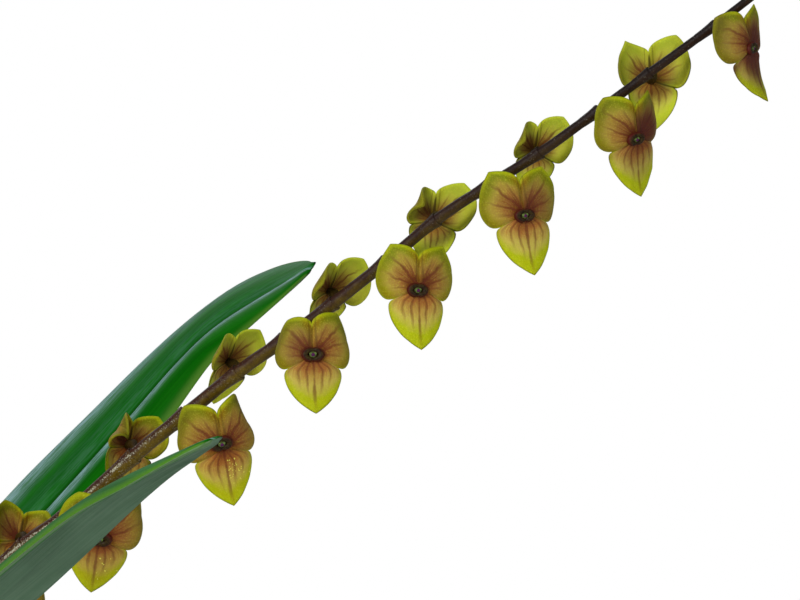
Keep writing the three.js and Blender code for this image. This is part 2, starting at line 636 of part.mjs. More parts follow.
function curlAt(angle, [left, right, flank = 0]) {
  const a = Math.abs(angle);
  const next = Math.max(1, CURLS.findIndex(([at]) => at >= a));
  const [a0, c0] = CURLS[next - 1];
  const [a1, c1] = CURLS[next];
  const usual = c0 + ((c1 - c0) * (a - a0)) / (a1 - a0);
  const lobe = (angle < 0 ? left : right) * bell(a, LOBE_FOLD_ANGLE, LOBE_FOLD_SPREAD);
  const side = (angle < 0 ? 0 : flank) * bell(a, FLANK_FOLD_ANGLE, FLANK_FOLD_SPREAD);
  return usual + lobe + side;
}

// A point of the sepals' middle surface: each radial line runs out flat, then bends back
function sepalPoint(radius, angle, fold) {
  const steps = 12;
  const curl = curlAt(angle, fold);
  const beyond = Math.max(0, radius - FLAT_RADIUS);
  let out = Math.min(radius, FLAT_RADIUS);
  let deep = 0;
  for (let i = 0; i < steps; i += 1) {
    const bend = curl * ((beyond * (i + 0.5)) / steps) ** CURL_POWER;
    out += (Math.cos(bend) * beyond) / steps;
    deep -= (Math.sin(bend) * beyond) / steps;
  }
  const fade = Math.min(1, radius / 3);
  for (const valley of [SEAM_ANGLE, SINUS_ANGLE]) {
    deep -= VALLEY_DEPTH * fade * bell(Math.abs(angle), valley, VALLEY_SPREAD);
  }
  return vec(out * Math.sin(rad(angle)), -out * Math.cos(rad(angle)), deep);
}

function sepalNormal(radius, angle, fold) {
  const small = 0.05;
  const outward = sepalPoint(radius, angle, fold).sub(sepalPoint(radius - small, angle, fold));
  const turn = Math.min(SEAM_ANGLE, angle + 1);
  const around = sepalPoint(radius, turn, fold).sub(sepalPoint(radius, turn - 2, fold));
  return outward.cross(around).normalize();
}

// The three joined sepals of a flower in its own frame: +X right, +Y top, +Z facing
function sepalsGeometry(flower) {
  const { size, fold } = flower;
  const angles = [...HALF_ANGLES, ...HALF_ANGLES.slice(1, -1).reverse().map((a) => -a)];
  const front = [];
  const back = [];
  for (const band of [0, ...SEPAL_BANDS]) {
    const points = angles.map((angle) => {
      const radius = band ? outlineRadius(angle, flower) * band : THROAT_RADIUS / size;
      const middle = sepalPoint(radius, angle, fold).multiplyScalar(size);
      return [middle, sepalNormal(radius, angle, fold)];
    });
    front.push(points.map(([p, n]) => p.clone().addScaledVector(n, SEPAL_THICKNESS / 2)));
    back.push(points.map(([p, n]) => p.clone().addScaledVector(n, -SEPAL_THICKNESS / 2)));
  }
  return plate(front, back, true);
}

function material(colour, roughness) {
  return new THREE.MeshStandardMaterial({ color: colour, roughness, metalness: 0 });
}

const terracotta = material('#b4623c', 0.85);
const bark = material('#4a3324', 0.95);
const sheath = material('#8f7a4c', 0.8);
const leafGreen = material('#1c6a1e', 0.4);
const rachisBrown = material('#3a2a20', 0.6);
const sepalGreen = material('#a9ab3c', 0.5);

const group = new THREE.Group();

function addMesh(name, geometry, meshMaterial, parent = group) {
  const mesh = new THREE.Mesh(geometry, meshMaterial);
  mesh.name = name;
  parent.add(mesh);
  return mesh;
}

const numbered = (name, k) => `${name}_${String(k + 1).padStart(2, '0')}`;

addMesh('pot', potGeometry(), terracotta);
addMesh('potting_mix', mixGeometry(), bark);

const tuft = new THREE.Group();
SHOOTS.forEach((shoot, k) => {
  addMesh(numbered('stem', k), stemGeometry(shoot), sheath, tuft);
  addMesh(numbered('leaf', k), leafGeometry(shoot), leafGreen, tuft);
});
group.add(tuft);

const inflorescence = new THREE.Group();
addMesh('raceme', racemeGeometry(), rachisBrown, inflorescence);
FLOWERS.forEach((flower, k) => {
  const mesh = addMesh(numbered('flower', k), sepalsGeometry(flower), sepalGreen, inflorescence);
  mesh.position.copy(flowerCentre(flower, k));
  mesh.quaternion.setFromRotationMatrix(new THREE.Matrix4().makeBasis(...flowerAxes(flower)));
});
group.add(inflorescence);

export default group;
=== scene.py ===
"""Stelis superbiens in a terracotta pot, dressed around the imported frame.

A tuft of leafy stems stands in bark mix. The stem on the right bears one arching raceme of
flowers in two ranks. Sizes are in millimetres, as in the frame's source, and meshes are
written in metres.
"""
import logging
import math
from dataclasses import dataclass
from enum import Enum
from typing import Optional, Sequence, Union

import bpy
import numpy as np
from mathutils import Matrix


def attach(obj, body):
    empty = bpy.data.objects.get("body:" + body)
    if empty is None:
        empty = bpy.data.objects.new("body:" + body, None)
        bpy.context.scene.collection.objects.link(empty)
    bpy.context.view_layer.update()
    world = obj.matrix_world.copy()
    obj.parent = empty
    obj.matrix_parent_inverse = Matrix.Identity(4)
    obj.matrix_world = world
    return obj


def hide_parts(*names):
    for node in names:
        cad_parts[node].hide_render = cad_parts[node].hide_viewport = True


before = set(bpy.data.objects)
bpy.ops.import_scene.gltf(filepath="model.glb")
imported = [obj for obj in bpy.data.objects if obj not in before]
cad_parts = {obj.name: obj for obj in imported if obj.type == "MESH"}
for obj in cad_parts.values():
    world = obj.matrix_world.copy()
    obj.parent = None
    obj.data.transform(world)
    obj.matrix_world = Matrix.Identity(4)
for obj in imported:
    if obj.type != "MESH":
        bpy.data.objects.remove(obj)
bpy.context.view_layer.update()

MM = 0.001
ROOT = "root"

Array = np.ndarray
Triple = tuple[float, float, float]
Colour = Triple
Socket = bpy.types.NodeSocket
Input = Union[Socket, float, Colour]

ALL_ROUND = 2 * math.pi

log = logging.getLogger("stelis")


class Layer(Enum):
    """The painted layers of a mesh, three values each."""

    PAINT = "paint"
    TINT = "tint"


class Operation(Enum):
    """What a material does with two values, by Blender's name for it."""

    TIMES = "MULTIPLY"
    PLUS = "ADD"
    MINUS = "SUBTRACT"
    LARGER = "MAXIMUM"
    SIZE = "ABSOLUTE"


class Blend(Enum):
    """How one colour is laid over another."""

    COVER = "MIX"
    STAIN = "MULTIPLY"


def unit(v: Array) -> Array:
    """The direction of a vector, or of each vector in the last axis."""
    return v / (np.linalg.norm(v, axis=-1, keepdims=True) + 1e-12)


def smooth(low: float, high: float, value: Union[float, Array]) -> Union[float, Array]:
    """An eased step from 0 at low to 1 at high."""
    t = np.clip((np.asarray(value, float) - low) / (high - low), 0.0, 1.0)
    return t * t * (3 - 2 * t)


def bump(value: Union[float, Array], middle: float, spread: float) -> Union[float, Array]:
    """A bell curve of height 1 at middle."""
    return np.exp(-(((np.asarray(value, float) - middle) / spread) ** 2))


def around(count: int, start: float = 0.5) -> Array:
    """Even angles round a circle, the first of them a share of a step from 0."""
    return ALL_ROUND * (np.arange(count) + start) / count


def direction(heading: float, rise: float, drift: float = 0.0) -> Array:
    """A direction in the frame.

    Args:
        heading: degrees round from +X.
        rise: degrees up from level.
        drift: degrees to the left of the heading.

    Returns:
        A unit vector.
    """
    h, r, d = np.radians([heading, rise, drift])
    out = np.array([math.cos(h), math.sin(h), 0.0])
    left = np.array([-out[1], out[0], 0.0])
    up = np.array([0.0, 0.0, 1.0])
    return out * math.cos(r) * math.cos(d) + left * math.sin(d) + up * math.sin(r) * math.cos(d)


def walked(start: Array, legs: Sequence[Array], length: float) -> Array:
    """Points reached by walking equal legs.

    Args:
        start: the first point.
        legs: the direction of each leg.
        length: the length of all the legs together.

    Returns:
        One point more than there are legs.
    """
    points = [np.asarray(start, float)]
    for leg in legs:
        points.append(points[-1] + leg * (length / len(legs)))
    return np.array(points)


def axes_across(along: Array, wanted: Array) -> tuple[Array, Array]:
    """Two axes square to a direction, the second as near as can be to a wanted one."""
    top = unit(wanted - along * float(np.dot(wanted, along)))
    return unit(np.cross(top, along)), top


class Curve:
    """A line through space that is read by its share, from 0 to 1."""

    def at(self, share: float) -> Array:
        """The point at a share."""
        raise NotImplementedError

    def along(self, share: float) -> Array:
        """The direction of travel.

        Args:
            share: the place on the line, from 0 to 1.

        Returns:
            A unit vector.
        """
        step = 1e-4
        low, high = max(0.0, share - step), min(1.0, share + step)
        return unit(self.at(high) - self.at(low))


@dataclass
class Bend(Curve):
    """A curve steered by three points."""

    points: Array

    def at(self, share: float) -> Array:
        """The point at a share.

        Args:
            share: the place on the line, from 0 to 1.

        Returns:
            The point.
        """
        a, b, c = self.points
        rest = 1 - share
        return a * rest * rest + b * 2 * rest * share + c * share * share


@dataclass
class Sway(Curve):
    """A curve steered by four points."""

    points: Array

    def at(self, share: float) -> Array:
        """The point at a share.

        Args:
            share: the place on the line, from 0 to 1.

        Returns:
            The point.
        """
        a, b, c, d = self.points
        rest = 1 - share
        return (a * rest ** 3 + b * 3 * rest * rest * share + c * 3 * rest * share * share
                + d * share ** 3)


@dataclass
class Thread(Curve):
    """A smooth curve through all of its points."""

    points: Array

    def at(self, share: float) -> Array:
        """The point at a share.

        Args:
            share: the place on the line, with as much of it between any two points.

        Returns:
            The point.
        """
        last = len(self.points) - 1
        place = min(max(share, 0.0), 1.0) * last
        k = min(int(place), last - 1)
        t = place - k
        p1, p2 = self.points[k], self.points[k + 1]
        p0 = self.points[k - 1] if k else 2 * p1 - p2
        p3 = self.points[k + 2] if k + 2 <= last else 2 * p2 - p1
        m1, m2 = 0.5 * (p2 - p0), 0.5 * (p3 - p1)
        return (p1 + m1 * t + (3 * (p2 - p1) - 2 * m1 - m2) * t * t
                + (2 * (p1 - p2) + m1 + m2) * t ** 3)


def ring(centre: Array, side: Array, top: Array, radius: Union[float, Array], count: int,
         along: Optional[Array] = None, slant: Union[float, Array] = 0.0) -> Array:
    """Points round a centre.

    Args:
        centre: the ring's middle.
        side: the axis at angle 0.
        top: the axis at a quarter turn.
        radius: one value, or one for each point.
        count: the number of points.
        along: the direction in which a slant lifts the top side.
        slant: how far it lifts it.

    Returns:
        An array of count points.
    """
    angle = around(count)
    radius = np.broadcast_to(radius, (count,))
    points = centre + np.outer(radius * np.cos(angle), side) + np.outer(radius * np.sin(angle), top)
    if along is not None:
        points = points + np.outer(np.broadcast_to(slant, (count,)) * np.sin(angle), along)
    return points


class Draft:
    """The points, faces and painted values of one piece, in millimetres."""

    def __init__(self, name: str) -> None:
        """Starts an empty draft.

        Args:
            name: the piece's name.
        """
        self.name = name
        self.points: list[Array] = []
        self.faces: list[Array] = []
        self.paint: list[Array] = []
        self.tint: list[Array] = []
        self.count = 0

    def grid(self, rows: Array, paint: Array, tint: Array = np.zeros(3), loop: bool = False) -> None:
        """Adds a closed skin whose rows each run round.

        Args:
            rows: an array of row, column and coordinate. The last column joins the first.
            paint: three painted values for each point, or one set for all.
            tint: three more painted values.
            loop: joins the last row to the first. Otherwise both ends are capped.
        """
        count, width, _ = rows.shape
        index = np.arange(count * width).reshape(count, width)
        turned = np.roll(index, -1, axis=1)
        upper, lower = (np.roll(index, -1, axis=0), index) if loop else (index[1:], index[:-1])
        upper_turned = np.roll(turned, -1, axis=0) if loop else turned[1:]
        lower_turned = turned if loop else turned[:-1]
        quads = np.stack([lower, lower_turned, upper_turned, upper], axis=-1).reshape(-1, 4)
        points = rows.reshape(-1, 3)
        paints = np.broadcast_to(paint, rows.shape).reshape(-1, 3)
        tints = np.broadcast_to(tint, rows.shape).reshape(-1, 3)
        caps = np.empty((0, 3), int)
        if not loop:
            ends = []
            for k, (row, order) in enumerate(((0, -1), (count - 1, 1))):
                middle = count * width + k
                points = np.vstack([points, rows[row].mean(0)])
                paints = np.vstack([paints, np.broadcast_to(paint, rows.shape)[row].mean(0)])
                tints = np.vstack([tints, np.broadcast_to(tint, rows.shape)[row].mean(0)])
                fan = np.stack([index[row], turned[row], np.full(width, middle)], axis=-1)
                ends.append(fan[:, ::order])
            caps = np.vstack(ends)
        a, b, c, d = (points[quads[:, k]] for k in range(4))
        volume = np.einsum("ij,ij->", a, np.cross(b, c)) + np.einsum("ij,ij->", a, np.cross(c, d))
        if len(caps):
            p, q, r = (points[caps[:, k]] for k in range(3))
            volume += np.einsum("ij,ij->", p, np.cross(q, r))
        if volume < 0:
            quads, caps = quads[:, ::-1], caps[:, ::-1]
        for faces in (quads, caps):
            if len(faces):
                self.faces.append(faces + self.count)
        self.points.append(points)
        self.paint.append(paints)
        self.tint.append(tints)
        self.count += len(points)

    def build(self, finish: "Finish", slot: str, nodes: Sequence[str]) -> bpy.types.Object:
        """Makes the piece and seats it in the frame.

        Args:
            finish: what its surface is.
            slot: the record's material slot, which is not used.
            nodes: the frame's nodes that it stands for.

        Returns:
            The new object.
        """
        mesh = bpy.data.meshes.new(self.name)
        points = np.vstack(self.points) * MM
        sizes = np.concatenate([np.full(len(f), f.shape[1]) for f in self.faces])
        corners = np.concatenate([f.reshape(-1) for f in self.faces])
        mesh.vertices.add(len(points))
        mesh.vertices.foreach_set("co", points.astype(np.float32).reshape(-1))
        mesh.loops.add(len(corners))
        mesh.loops.foreach_set("vertex_index", corners.astype(np.int32))
        mesh.polygons.add(len(sizes))
        starts = np.concatenate([[0], np.cumsum(sizes)[:-1]])
        mesh.polygons.foreach_set("loop_start", starts.astype(np.int32))
        for name, values in (("paint", self.paint), ("tint", self.tint)):
            layer = mesh.attributes.new(name, "FLOAT_VECTOR", "POINT")
            layer.data.foreach_set("vector", np.vstack(values).astype(np.float32).reshape(-1))
        mesh.update(calc_edges=True)
        mesh.shade_smooth()
        piece = bpy.data.objects.new(self.name, mesh)
        bpy.context.scene.collection.objects.link(piece)
        mesh.materials.append(finish.material())
        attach(piece, ROOT)
        if nodes:
            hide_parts(*nodes)
        log.info("%s: %d points, %d faces", self.name, len(points), len(sizes))
        return piece


class Shader:
    """A material under construction, with short calls for the nodes that it needs."""

    def __init__(self, name: str) -> None:
        """Starts a material with one Principled surface.

        Args:
            name: the material's name.
        """
        self.made = bpy.data.materials.new(name)
        self.made.use_nodes = True
        self.tree = self.made.node_tree
        self.surface = self.tree.nodes["Principled BSDF"]
        self.places: dict[str, Socket] = {}

    def node(self, kind: str, **values: object) -> bpy.types.Node:
        """Adds a node.

        Args:
            kind: Blender's name for the kind of node.
            values: its properties.

        Returns:
            The new node.
        """
        made = self.tree.nodes.new(kind)
        for name, value in values.items():
            setattr(made, name, value)
        return made

    def feed(self, target: Socket, value: Input) -> None:
        """Links a socket to a target, or sets the target's value.

        Args:
            target: the socket that is fed.
            value: a socket, a number or a colour.
        """
        if isinstance(value, bpy.types.NodeSocket):
            self.tree.links.new(value, target)
        elif isinstance(value, tuple):
            target.default_value = (*value, 1.0) if len(target.default_value) == 4 else value
        else:
            target.default_value = value

    def painted(self, layer: Layer) -> tuple[Socket, Socket, Socket]:
        """The painted values of a layer.

        Args:
            layer: which layer.

        Returns:
            Its three values.
        """
        source = self.node("ShaderNodeAttribute", attribute_name=layer.value)
        split = self.node("ShaderNodeSeparateXYZ")
        self.feed(split.inputs[0], source.outputs["Vector"])
        return split.outputs[0], split.outputs[1], split.outputs[2]

    def place(self, stretch: Triple, layer: Optional[Layer]) -> Socket:
        """Coordinates for a texture, made once for each stretch and layer.

        Args:
            stretch: a factor for each axis.
            layer: the layer that gives the coordinates, or none for metres.

        Returns:
            The coordinates.
        """
        key = f"{stretch}{layer}"
        if key not in self.places:
            if layer:
                source = self.node("ShaderNodeAttribute", attribute_name=layer.value).outputs["Vector"]
            else:
                source = self.node("ShaderNodeTexCoord").outputs["Object"]
            scaled = self.node("ShaderNodeVectorMath", operation=Operation.TIMES.value)
            self.feed(scaled.inputs[0], source)
            scaled.inputs[1].default_value = stretch
            self.places[key] = scaled.outputs[0]
        return self.places[key]

    def noise(self, scale: float, detail: float = 3.0, roughness: float = 0.55,
              stretch: Triple = (1.0, 1.0, 1.0), layer: Optional[Layer] = None) -> Socket:
        """A soft random value.

        Args:
            scale: lumps to a unit.
            detail: how many finer sizes lie on top.
            roughness: how strong the finer sizes are.
            stretch: a factor for each axis.
            layer: the layer that gives the coordinates, or none for metres.

        Returns:
            A value from 0 to 1.
        """
        made = self.node("ShaderNodeTexNoise")
        self.feed(made.inputs["Vector"], self.place(stretch, layer))
        made.inputs["Scale"].default_value = scale
        made.inputs["Detail"].default_value = detail
        made.inputs["Roughness"].default_value = roughness
        return made.outputs["Fac"]

    def swing(self, value: Socket, amount: float) -> Socket:
        """A random value from 0 to 1 moved to lie about 0, and scaled."""
        return self.times(self.minus(value, 0.5), amount)

    def times(self, *values: Input) -> Socket:
        """The product of the values."""
        return self.chain(Operation.TIMES, values)

    def plus(self, *values: Input) -> Socket:
        """The sum of the values."""
        return self.chain(Operation.PLUS, values)

    def larger(self, *values: Input) -> Socket:
        """The largest of the values."""
        return self.chain(Operation.LARGER, values)

    def minus(self, first: Input, second: Input) -> Socket:
        """The first value less the second."""
        return self.math(Operation.MINUS, first, second)

    def size(self, value: Input) -> Socket:
        """The value without its sign."""
        return self.math(Operation.SIZE, value)

    def apart(self, first: Input, second: Input) -> Socket:
        """How far two values lie apart."""
        return self.size(self.minus(first, second))

    def chain(self, operation: Operation, values: Sequence[Input]) -> Socket:
        """Carries an operation through some values.

        Args:
            operation: what is done.
            values: two values or more, taken in order.

        Returns:
            The result.
        """
        total = values[0]
        for value in values[1:]:
            total = self.math(operation, total, value)
        return total

    def math(self, operation: Operation, first: Input, second: Input = 0.0) -> Socket:
        """Adds one operation.

        Args:
            operation: what is done.
            first: the first value.
            second: the second value, which the size of a value has no use for.

        Returns:
            The result.
        """
        made = self.node("ShaderNodeMath", operation=operation.value)
        self.feed(made.inputs[0], first)
        self.feed(made.inputs[1], second)
        return made.outputs[0]

    def step(self, value: Input, low: float, high: float, start: float = 0.0,
             end: float = 1.0) -> Socket:
        """An eased ramp of a value.

        Args:
            value: what is read.
            low: where the ramp begins.
            high: where it ends, which may lie below low.
            start: the result at low.
            end: the result at high.

        Returns:
            A value from start to end.
        """
        made = self.node("ShaderNodeMapRange", interpolation_type="SMOOTHSTEP")
        for target, given in zip(made.inputs[:5], (value, low, high, start, end)):
            self.feed(target, given)
        return made.outputs[0]

    def mix(self, factor: Input, first: Input, second: Input,
            blend: Blend = Blend.COVER) -> Socket:
        """Lays a colour over another.

        Args:
            factor: how much of it shows.
            first: the lower colour.
            second: the upper colour.
            blend: how it is laid on.

        Returns:
            The colour.
        """
        made = self.node("ShaderNodeMix", data_type="RGBA", blend_type=blend.value)
        self.feed(made.inputs[0], factor)
        self.feed(made.inputs[6], first)
        self.feed(made.inputs[7], second)
        return made.outputs[2]

    def ramp(self, factor: Input, stops: Sequence[tuple[float, Colour]]) -> Socket:
        """A colour read from a row of stops.

        Args:
            factor: the place in the row, from 0 to 1.
            stops: places and their colours.

        Returns:
            The colour.
        """
        made = self.node("ShaderNodeValToRGB")
        self.feed(made.inputs[0], factor)
        elements = made.color_ramp.elements
        while len(elements) < len(stops):
            elements.new(0.5)
        for element, (place, colour) in zip(elements, stops):
            element.position = place
            element.color = (*colour, 1.0)
        return made.outputs["Color"]

    def relief(self, height: Input, distance: float, strength: float) -> Socket:
        """A normal that is bent by a height.

        Args:
            height: a value from 0 to 1.
            distance: what 1 stands for, in metres.
            strength: how much of the bend shows.

        Returns:
            The normal.
        """
        made = self.node("ShaderNodeBump")
        made.inputs["Strength"].default_value = strength
        made.inputs["Distance"].default_value = distance
        self.feed(made.inputs["Height"], height)
        return made.outputs[0]

    def finish(self, **values: Input) -> bpy.types.Material:
        """Sets the surface's sockets.

        Args:
            values: what each socket gets, with _ for a space in its name.

        Returns:
            The material.
        """
        for name, value in values.items():
            self.feed(self.surface.inputs[name.replace("_", " ")], value)
        return self.made


def srgb(red: int, green: int, blue: int) -> Colour:
    """A colour given as a screen shows it, in the renderer's linear values.

    Args:
        red: from 0 to 255.
        green: from 0 to 255.
        blue: from 0 to 255.

    Returns:
        The colour.
    """
    return tuple(
        (c / 255 / 12.92) if c / 255 <= 0.04045 else ((c / 255 + 0.055) / 1.055) ** 2.4
        for c in (red, green, blue))


class Finish:
    """A surface finish. Each kind is made once and shared.

    In every kind, a scale is the number of lumps in a metre, a stretch squeezes them along each
    axis, and relief is their depth in metres and its strength.
    """

    _made: dict[str, bpy.types.Material] = {}

    def material(self) -> bpy.types.Material:
        """The finish as a material.

        Returns:
            The material, which all pieces with an equal finish share.
        """
        key = f"{type(self).__name__} {self!r}"
        if key not in Finish._made:
            Finish._made[key] = self.make()
        return Finish._made[key]

    def make(self) -> bpy.types.Material:
        """Builds the material."""
        raise NotImplementedError


@dataclass(frozen=True)
class Vein:
    """A vein of a sepal: its line, thickness in millimetres, reach as a share, and strength."""

    line: float
    thick: float
    reach: float
    strength: float


@dataclass(frozen=True)
class SepalFinish(Finish):
    """Thin, faintly translucent sepals, yellow-green at the margin and tan round the heart.

    paint: vein line, width of one step between lines, below 0 on the back, and share of the way
    out. tint: distance from the margin, purple flush and painted shade, warmth.
    """

    margin: Colour = srgb(160, 170, 6)
    middle: Colour = srgb(178, 168, 72)
    blush: Colour = srgb(188, 152, 84)
    tan: Colour = srgb(152, 99, 44)
    throat: Colour = srgb(112, 58, 18)
    olive: Colour = srgb(98, 112, 4)
    amber: Colour = srgb(136, 104, 8)
    purple: Colour = srgb(72, 32, 26)
    vein: Colour = srgb(92, 38, 22)
    seam: Colour = srgb(52, 36, 6)
    warm: Colour = srgb(240, 200, 140)
    # Painted sheen: the pale colour of the glinting specks on the sepals.
    dot: Colour = srgb(204, 204, 64)
    back: Colour = srgb(198, 212, 62)
    # Painted shade: the colour that the upper lobes are stained with to darken them.
    upper_lobe_shade: Colour = srgb(216, 203, 168)
    veins: tuple[Vein, ...] = (
        Vein(0.0, 0.36, 1.1, 0.85), Vein(0.27, 0.32, 0.8, 0.7), Vein(0.54, 0.32, 0.7, 0.65),
        Vein(0.8, 0.3, 0.6, 0.45), Vein(1.74, 1.2, 0.8, 0.38), Vein(0.0, 1.4, 0.4, 0.3),
        Vein(1.3, 0.3, 0.7, 0.5), Vein(1.58, 0.34, 0.88, 0.75),
        Vein(1.88, 0.44, 0.98, 0.95), Vein(2.22, 0.3, 0.8, 0.65), Vein(2.56, 0.26, 0.66, 0.5))
    seam_line: float = 3.0
    sinus_line: float = 1.0
    beside_seam: float = 0.62
    roughness: float = 0.56
    scatter: float = 0.25
    wander_scale: float = 420.0
    cloud_scale: float = 620.0
    grain_scale: float = 4400.0
    fibre_stretch: Triple = (26.0, 0.0, 2.2)
    shine: float = 0.06
    relief: tuple[float, float] = (0.00012, 0.6)

    def vein_mask(self, s: Shader, line: Socket, span: Socket, share: Socket) -> Socket:
        """How much of a vein lies at a place.

        Args:
            s: the material under construction.
            line: the vein line through the place.
            span: the width of one step between lines.
            share: the share of the way out.

        Returns:
            A value from 0 to 1.
        """
        wander = s.swing(s.noise(self.wander_scale, 2.0), 0.2)
        bent = s.plus(line, wander)
        found: Input = 0.0
        for vein in self.veins:
            gap = s.times(s.apart(bent, vein.line), span)
            body = s.step(gap, 0.04, vein.thick, vein.strength, 0.0)
            fade = s.step(share, vein.reach * 0.5, vein.reach, 1.0, 0.0)
            found = s.larger(found, s.times(body, fade))
        return found

    def seams(self, s: Shader, line: Socket, span: Socket, share: Socket) -> Socket:
        """The dark creases: the seam of the upper sepals, a line beside it, and each sinus.

        Args:
            s: the material under construction.
            line: the vein line through the place.
            span: the width of one step between lines.
            share: the share of the way out.

        Returns:
            A value from 0 to 1.
        """
        from_seam = s.times(s.minus(self.seam_line, line), span)
        seam = s.times(s.step(from_seam, 0.04, 0.2, 0.85, 0.0), s.step(share, 0.95, 0.7))
        beside = s.step(s.apart(from_seam, self.beside_seam), 0.03, 0.2, 0.35, 0.0)
        off_sinus = s.times(s.apart(line, self.sinus_line), span)
        sinus = s.step(off_sinus, 0.03, 0.16, 0.7, 0.0)
        return s.larger(seam, beside, sinus)

    def ground(self, s: Shader, line: Socket, share: Socket, mottle: Socket) -> Socket:
        """The colour between the veins, with painted shade on the upper lobes.

        Args:
            s: the material under construction.
            line: the vein line through the place.
            share: the share of the way out.
            mottle: a random value, about 0, that breaks the edges of the zones.

        Returns:
            The colour.
        """
        upper = s.step(line, 0.96, 1.12)
        about = s.times(s.step(line, 1.1, 1.5), s.step(line, 2.2, 2.7, 1.0, 0.0))
        outward = s.plus(s.minus(share, s.times(about, 0.14)), mottle)
        skin = s.ramp(outward, ((0.04, self.throat), (0.26, self.tan), (0.54, self.middle),
                                (0.76, self.margin)))
        # Painted shade: the upper lobes are stained darker than the lower one.
        skin = s.mix(s.times(upper, 0.85), skin, s.mix(1.0, skin, self.upper_lobe_shade, Blend.STAIN))
        crown = s.times(s.step(line, 1.4, 1.95), s.step(outward, 0.42, 0.8))
        skin = s.mix(s.times(crown, 0.85), skin, self.olive)
        skin = s.mix(s.times(s.step(line, 2.25, 2.8), 0.8), skin, self.amber)
        foot = s.times(upper, s.step(line, 1.4, 1.05))
        return s.mix(s.times(foot, 0.45), skin, self.amber)

    def make(self) -> bpy.types.Material:
        """Builds the material.

        Returns:
            The material.
        """
        s = Shader("sepal")
        line, width, share = s.painted(Layer.PAINT)
        edge, flush_and_shade, warmth = s.painted(Layer.TINT)
        span = s.size(width)
        cloud = s.noise(self.cloud_scale, 4.0)
        grain = s.noise(self.grain_scale, 3.0, 0.6)
        fibre = s.noise(1.0, 3.0, 0.6, self.fibre_stretch, Layer.PAINT)
        mottle = s.plus(s.swing(cloud, 0.3), s.swing(fibre, 0.16))
        skin = self.ground(s, line, share, mottle)
        skin = s.mix(warmth, skin, s.mix(1.0, skin, self.warm, Blend.STAIN))
        patch = s.times(s.step(share, 0.2, 0.42), s.step(share, 0.8, 0.5),
                        s.step(fibre, 0.35, 0.65, 0.05, 0.3))
        skin = s.mix(patch, skin, self.blush)
        skin = s.mix(s.step(edge, 0.3, 1.3, 0.75, 0.0), skin, self.margin)
        skin = s.mix(s.step(edge, 0.05, 0.35, 0.5, 0.0), skin, self.olive)
        # Painted sheen: fine pale specks that stand for the glint of the sepals' granular surface.
        sheen_specks = s.times(s.step(grain, 0.5, 0.68), s.step(share, 0.1, 0.5, 0.1, 0.24))
        skin = s.mix(sheen_specks, skin, self.dot)
        behind = s.times(s.step(width, -0.02, 0.02, 1.0, 0.0), s.step(warmth, 0.16, 0.3, 1.0, 0.0),
                         s.step(share, 0.3, 0.7, 0.1, 0.5))
        skin = s.mix(behind, skin, self.back)
        vein = self.vein_mask(s, line, span, share)
        skin = s.mix(s.times(vein, 0.8), skin, self.vein)
        # Purple flush and painted shade: the purple is laid on more where the sepals curl away.
        skin = s.mix(flush_and_shade, skin, self.purple)
        skin = s.mix(self.seams(s, line, span, share), skin, self.seam)
        height = s.plus(s.minus(s.plus(s.times(fibre, 0.8), s.times(cloud, 0.8)),
                                s.times(vein, 0.7)), s.times(grain, 0.35))
        return s.finish(
            Base_Color=skin, Roughness=self.roughness, Subsurface_Weight=self.scatter,
            Subsurface_Radius=(1.0, 0.7, 0.2), Subsurface_Scale=0.0006,
            Specular_IOR_Level=self.shine, Normal=s.relief(height, *self.relief))


@dataclass(frozen=True)
class HeartFinish(Finish):
    """The dark button of petals, lip and column. paint: column, purple spot and outer edge."""

    petal: Colour = srgb(30, 14, 4)
    edge: Colour = srgb(76, 20, 14)
    olive: Colour = srgb(56, 46, 4)
    column: Colour = srgb(98, 118, 58)
    vein: Colour = srgb(48, 56, 30)
    spot: Colour = srgb(70, 20, 66)
    cloud_scale: float = 2600.0
    fleck_scale: float = 5200.0
    roughness: float = 0.5
    shine: float = 0.12
    relief: tuple[float, float] = (0.0001, 0.8)

    def make(self) -> bpy.types.Material:
        """Builds the material.

        Returns:
            The material.
        """
        s = Shader("flower_heart")
        column, spot, edge = s.painted(Layer.PAINT)
        cloud = s.noise(self.cloud_scale, 3.0)
        skin = s.mix(s.step(cloud, 0.35, 0.7, 0.0, 0.75), self.petal, self.olive)
        skin = s.mix(edge, skin, self.edge)
        fleck = s.noise(self.fleck_scale, 2.0)
        flecked = s.mix(s.step(fleck, 0.45, 0.62, 0.0, 0.75), self.column, self.vein)
        skin = s.mix(column, skin, flecked)
        skin = s.mix(spot, skin, self.spot)
        return s.finish(Base_Color=skin, Roughness=self.roughness, Specular_IOR_Level=self.shine,
                        Normal=s.relief(cloud, *self.relief))


@dataclass(frozen=True)
class PollenFinish(Finish):
    """Spilt yellow pollen."""

    grain: Colour = srgb(204, 196, 70)
    roughness: float = 0.7

    def make(self) -> bpy.types.Material:
        """Builds the material."""
        return Shader("pollen").finish(Base_Color=self.grain, Roughness=self.roughness)


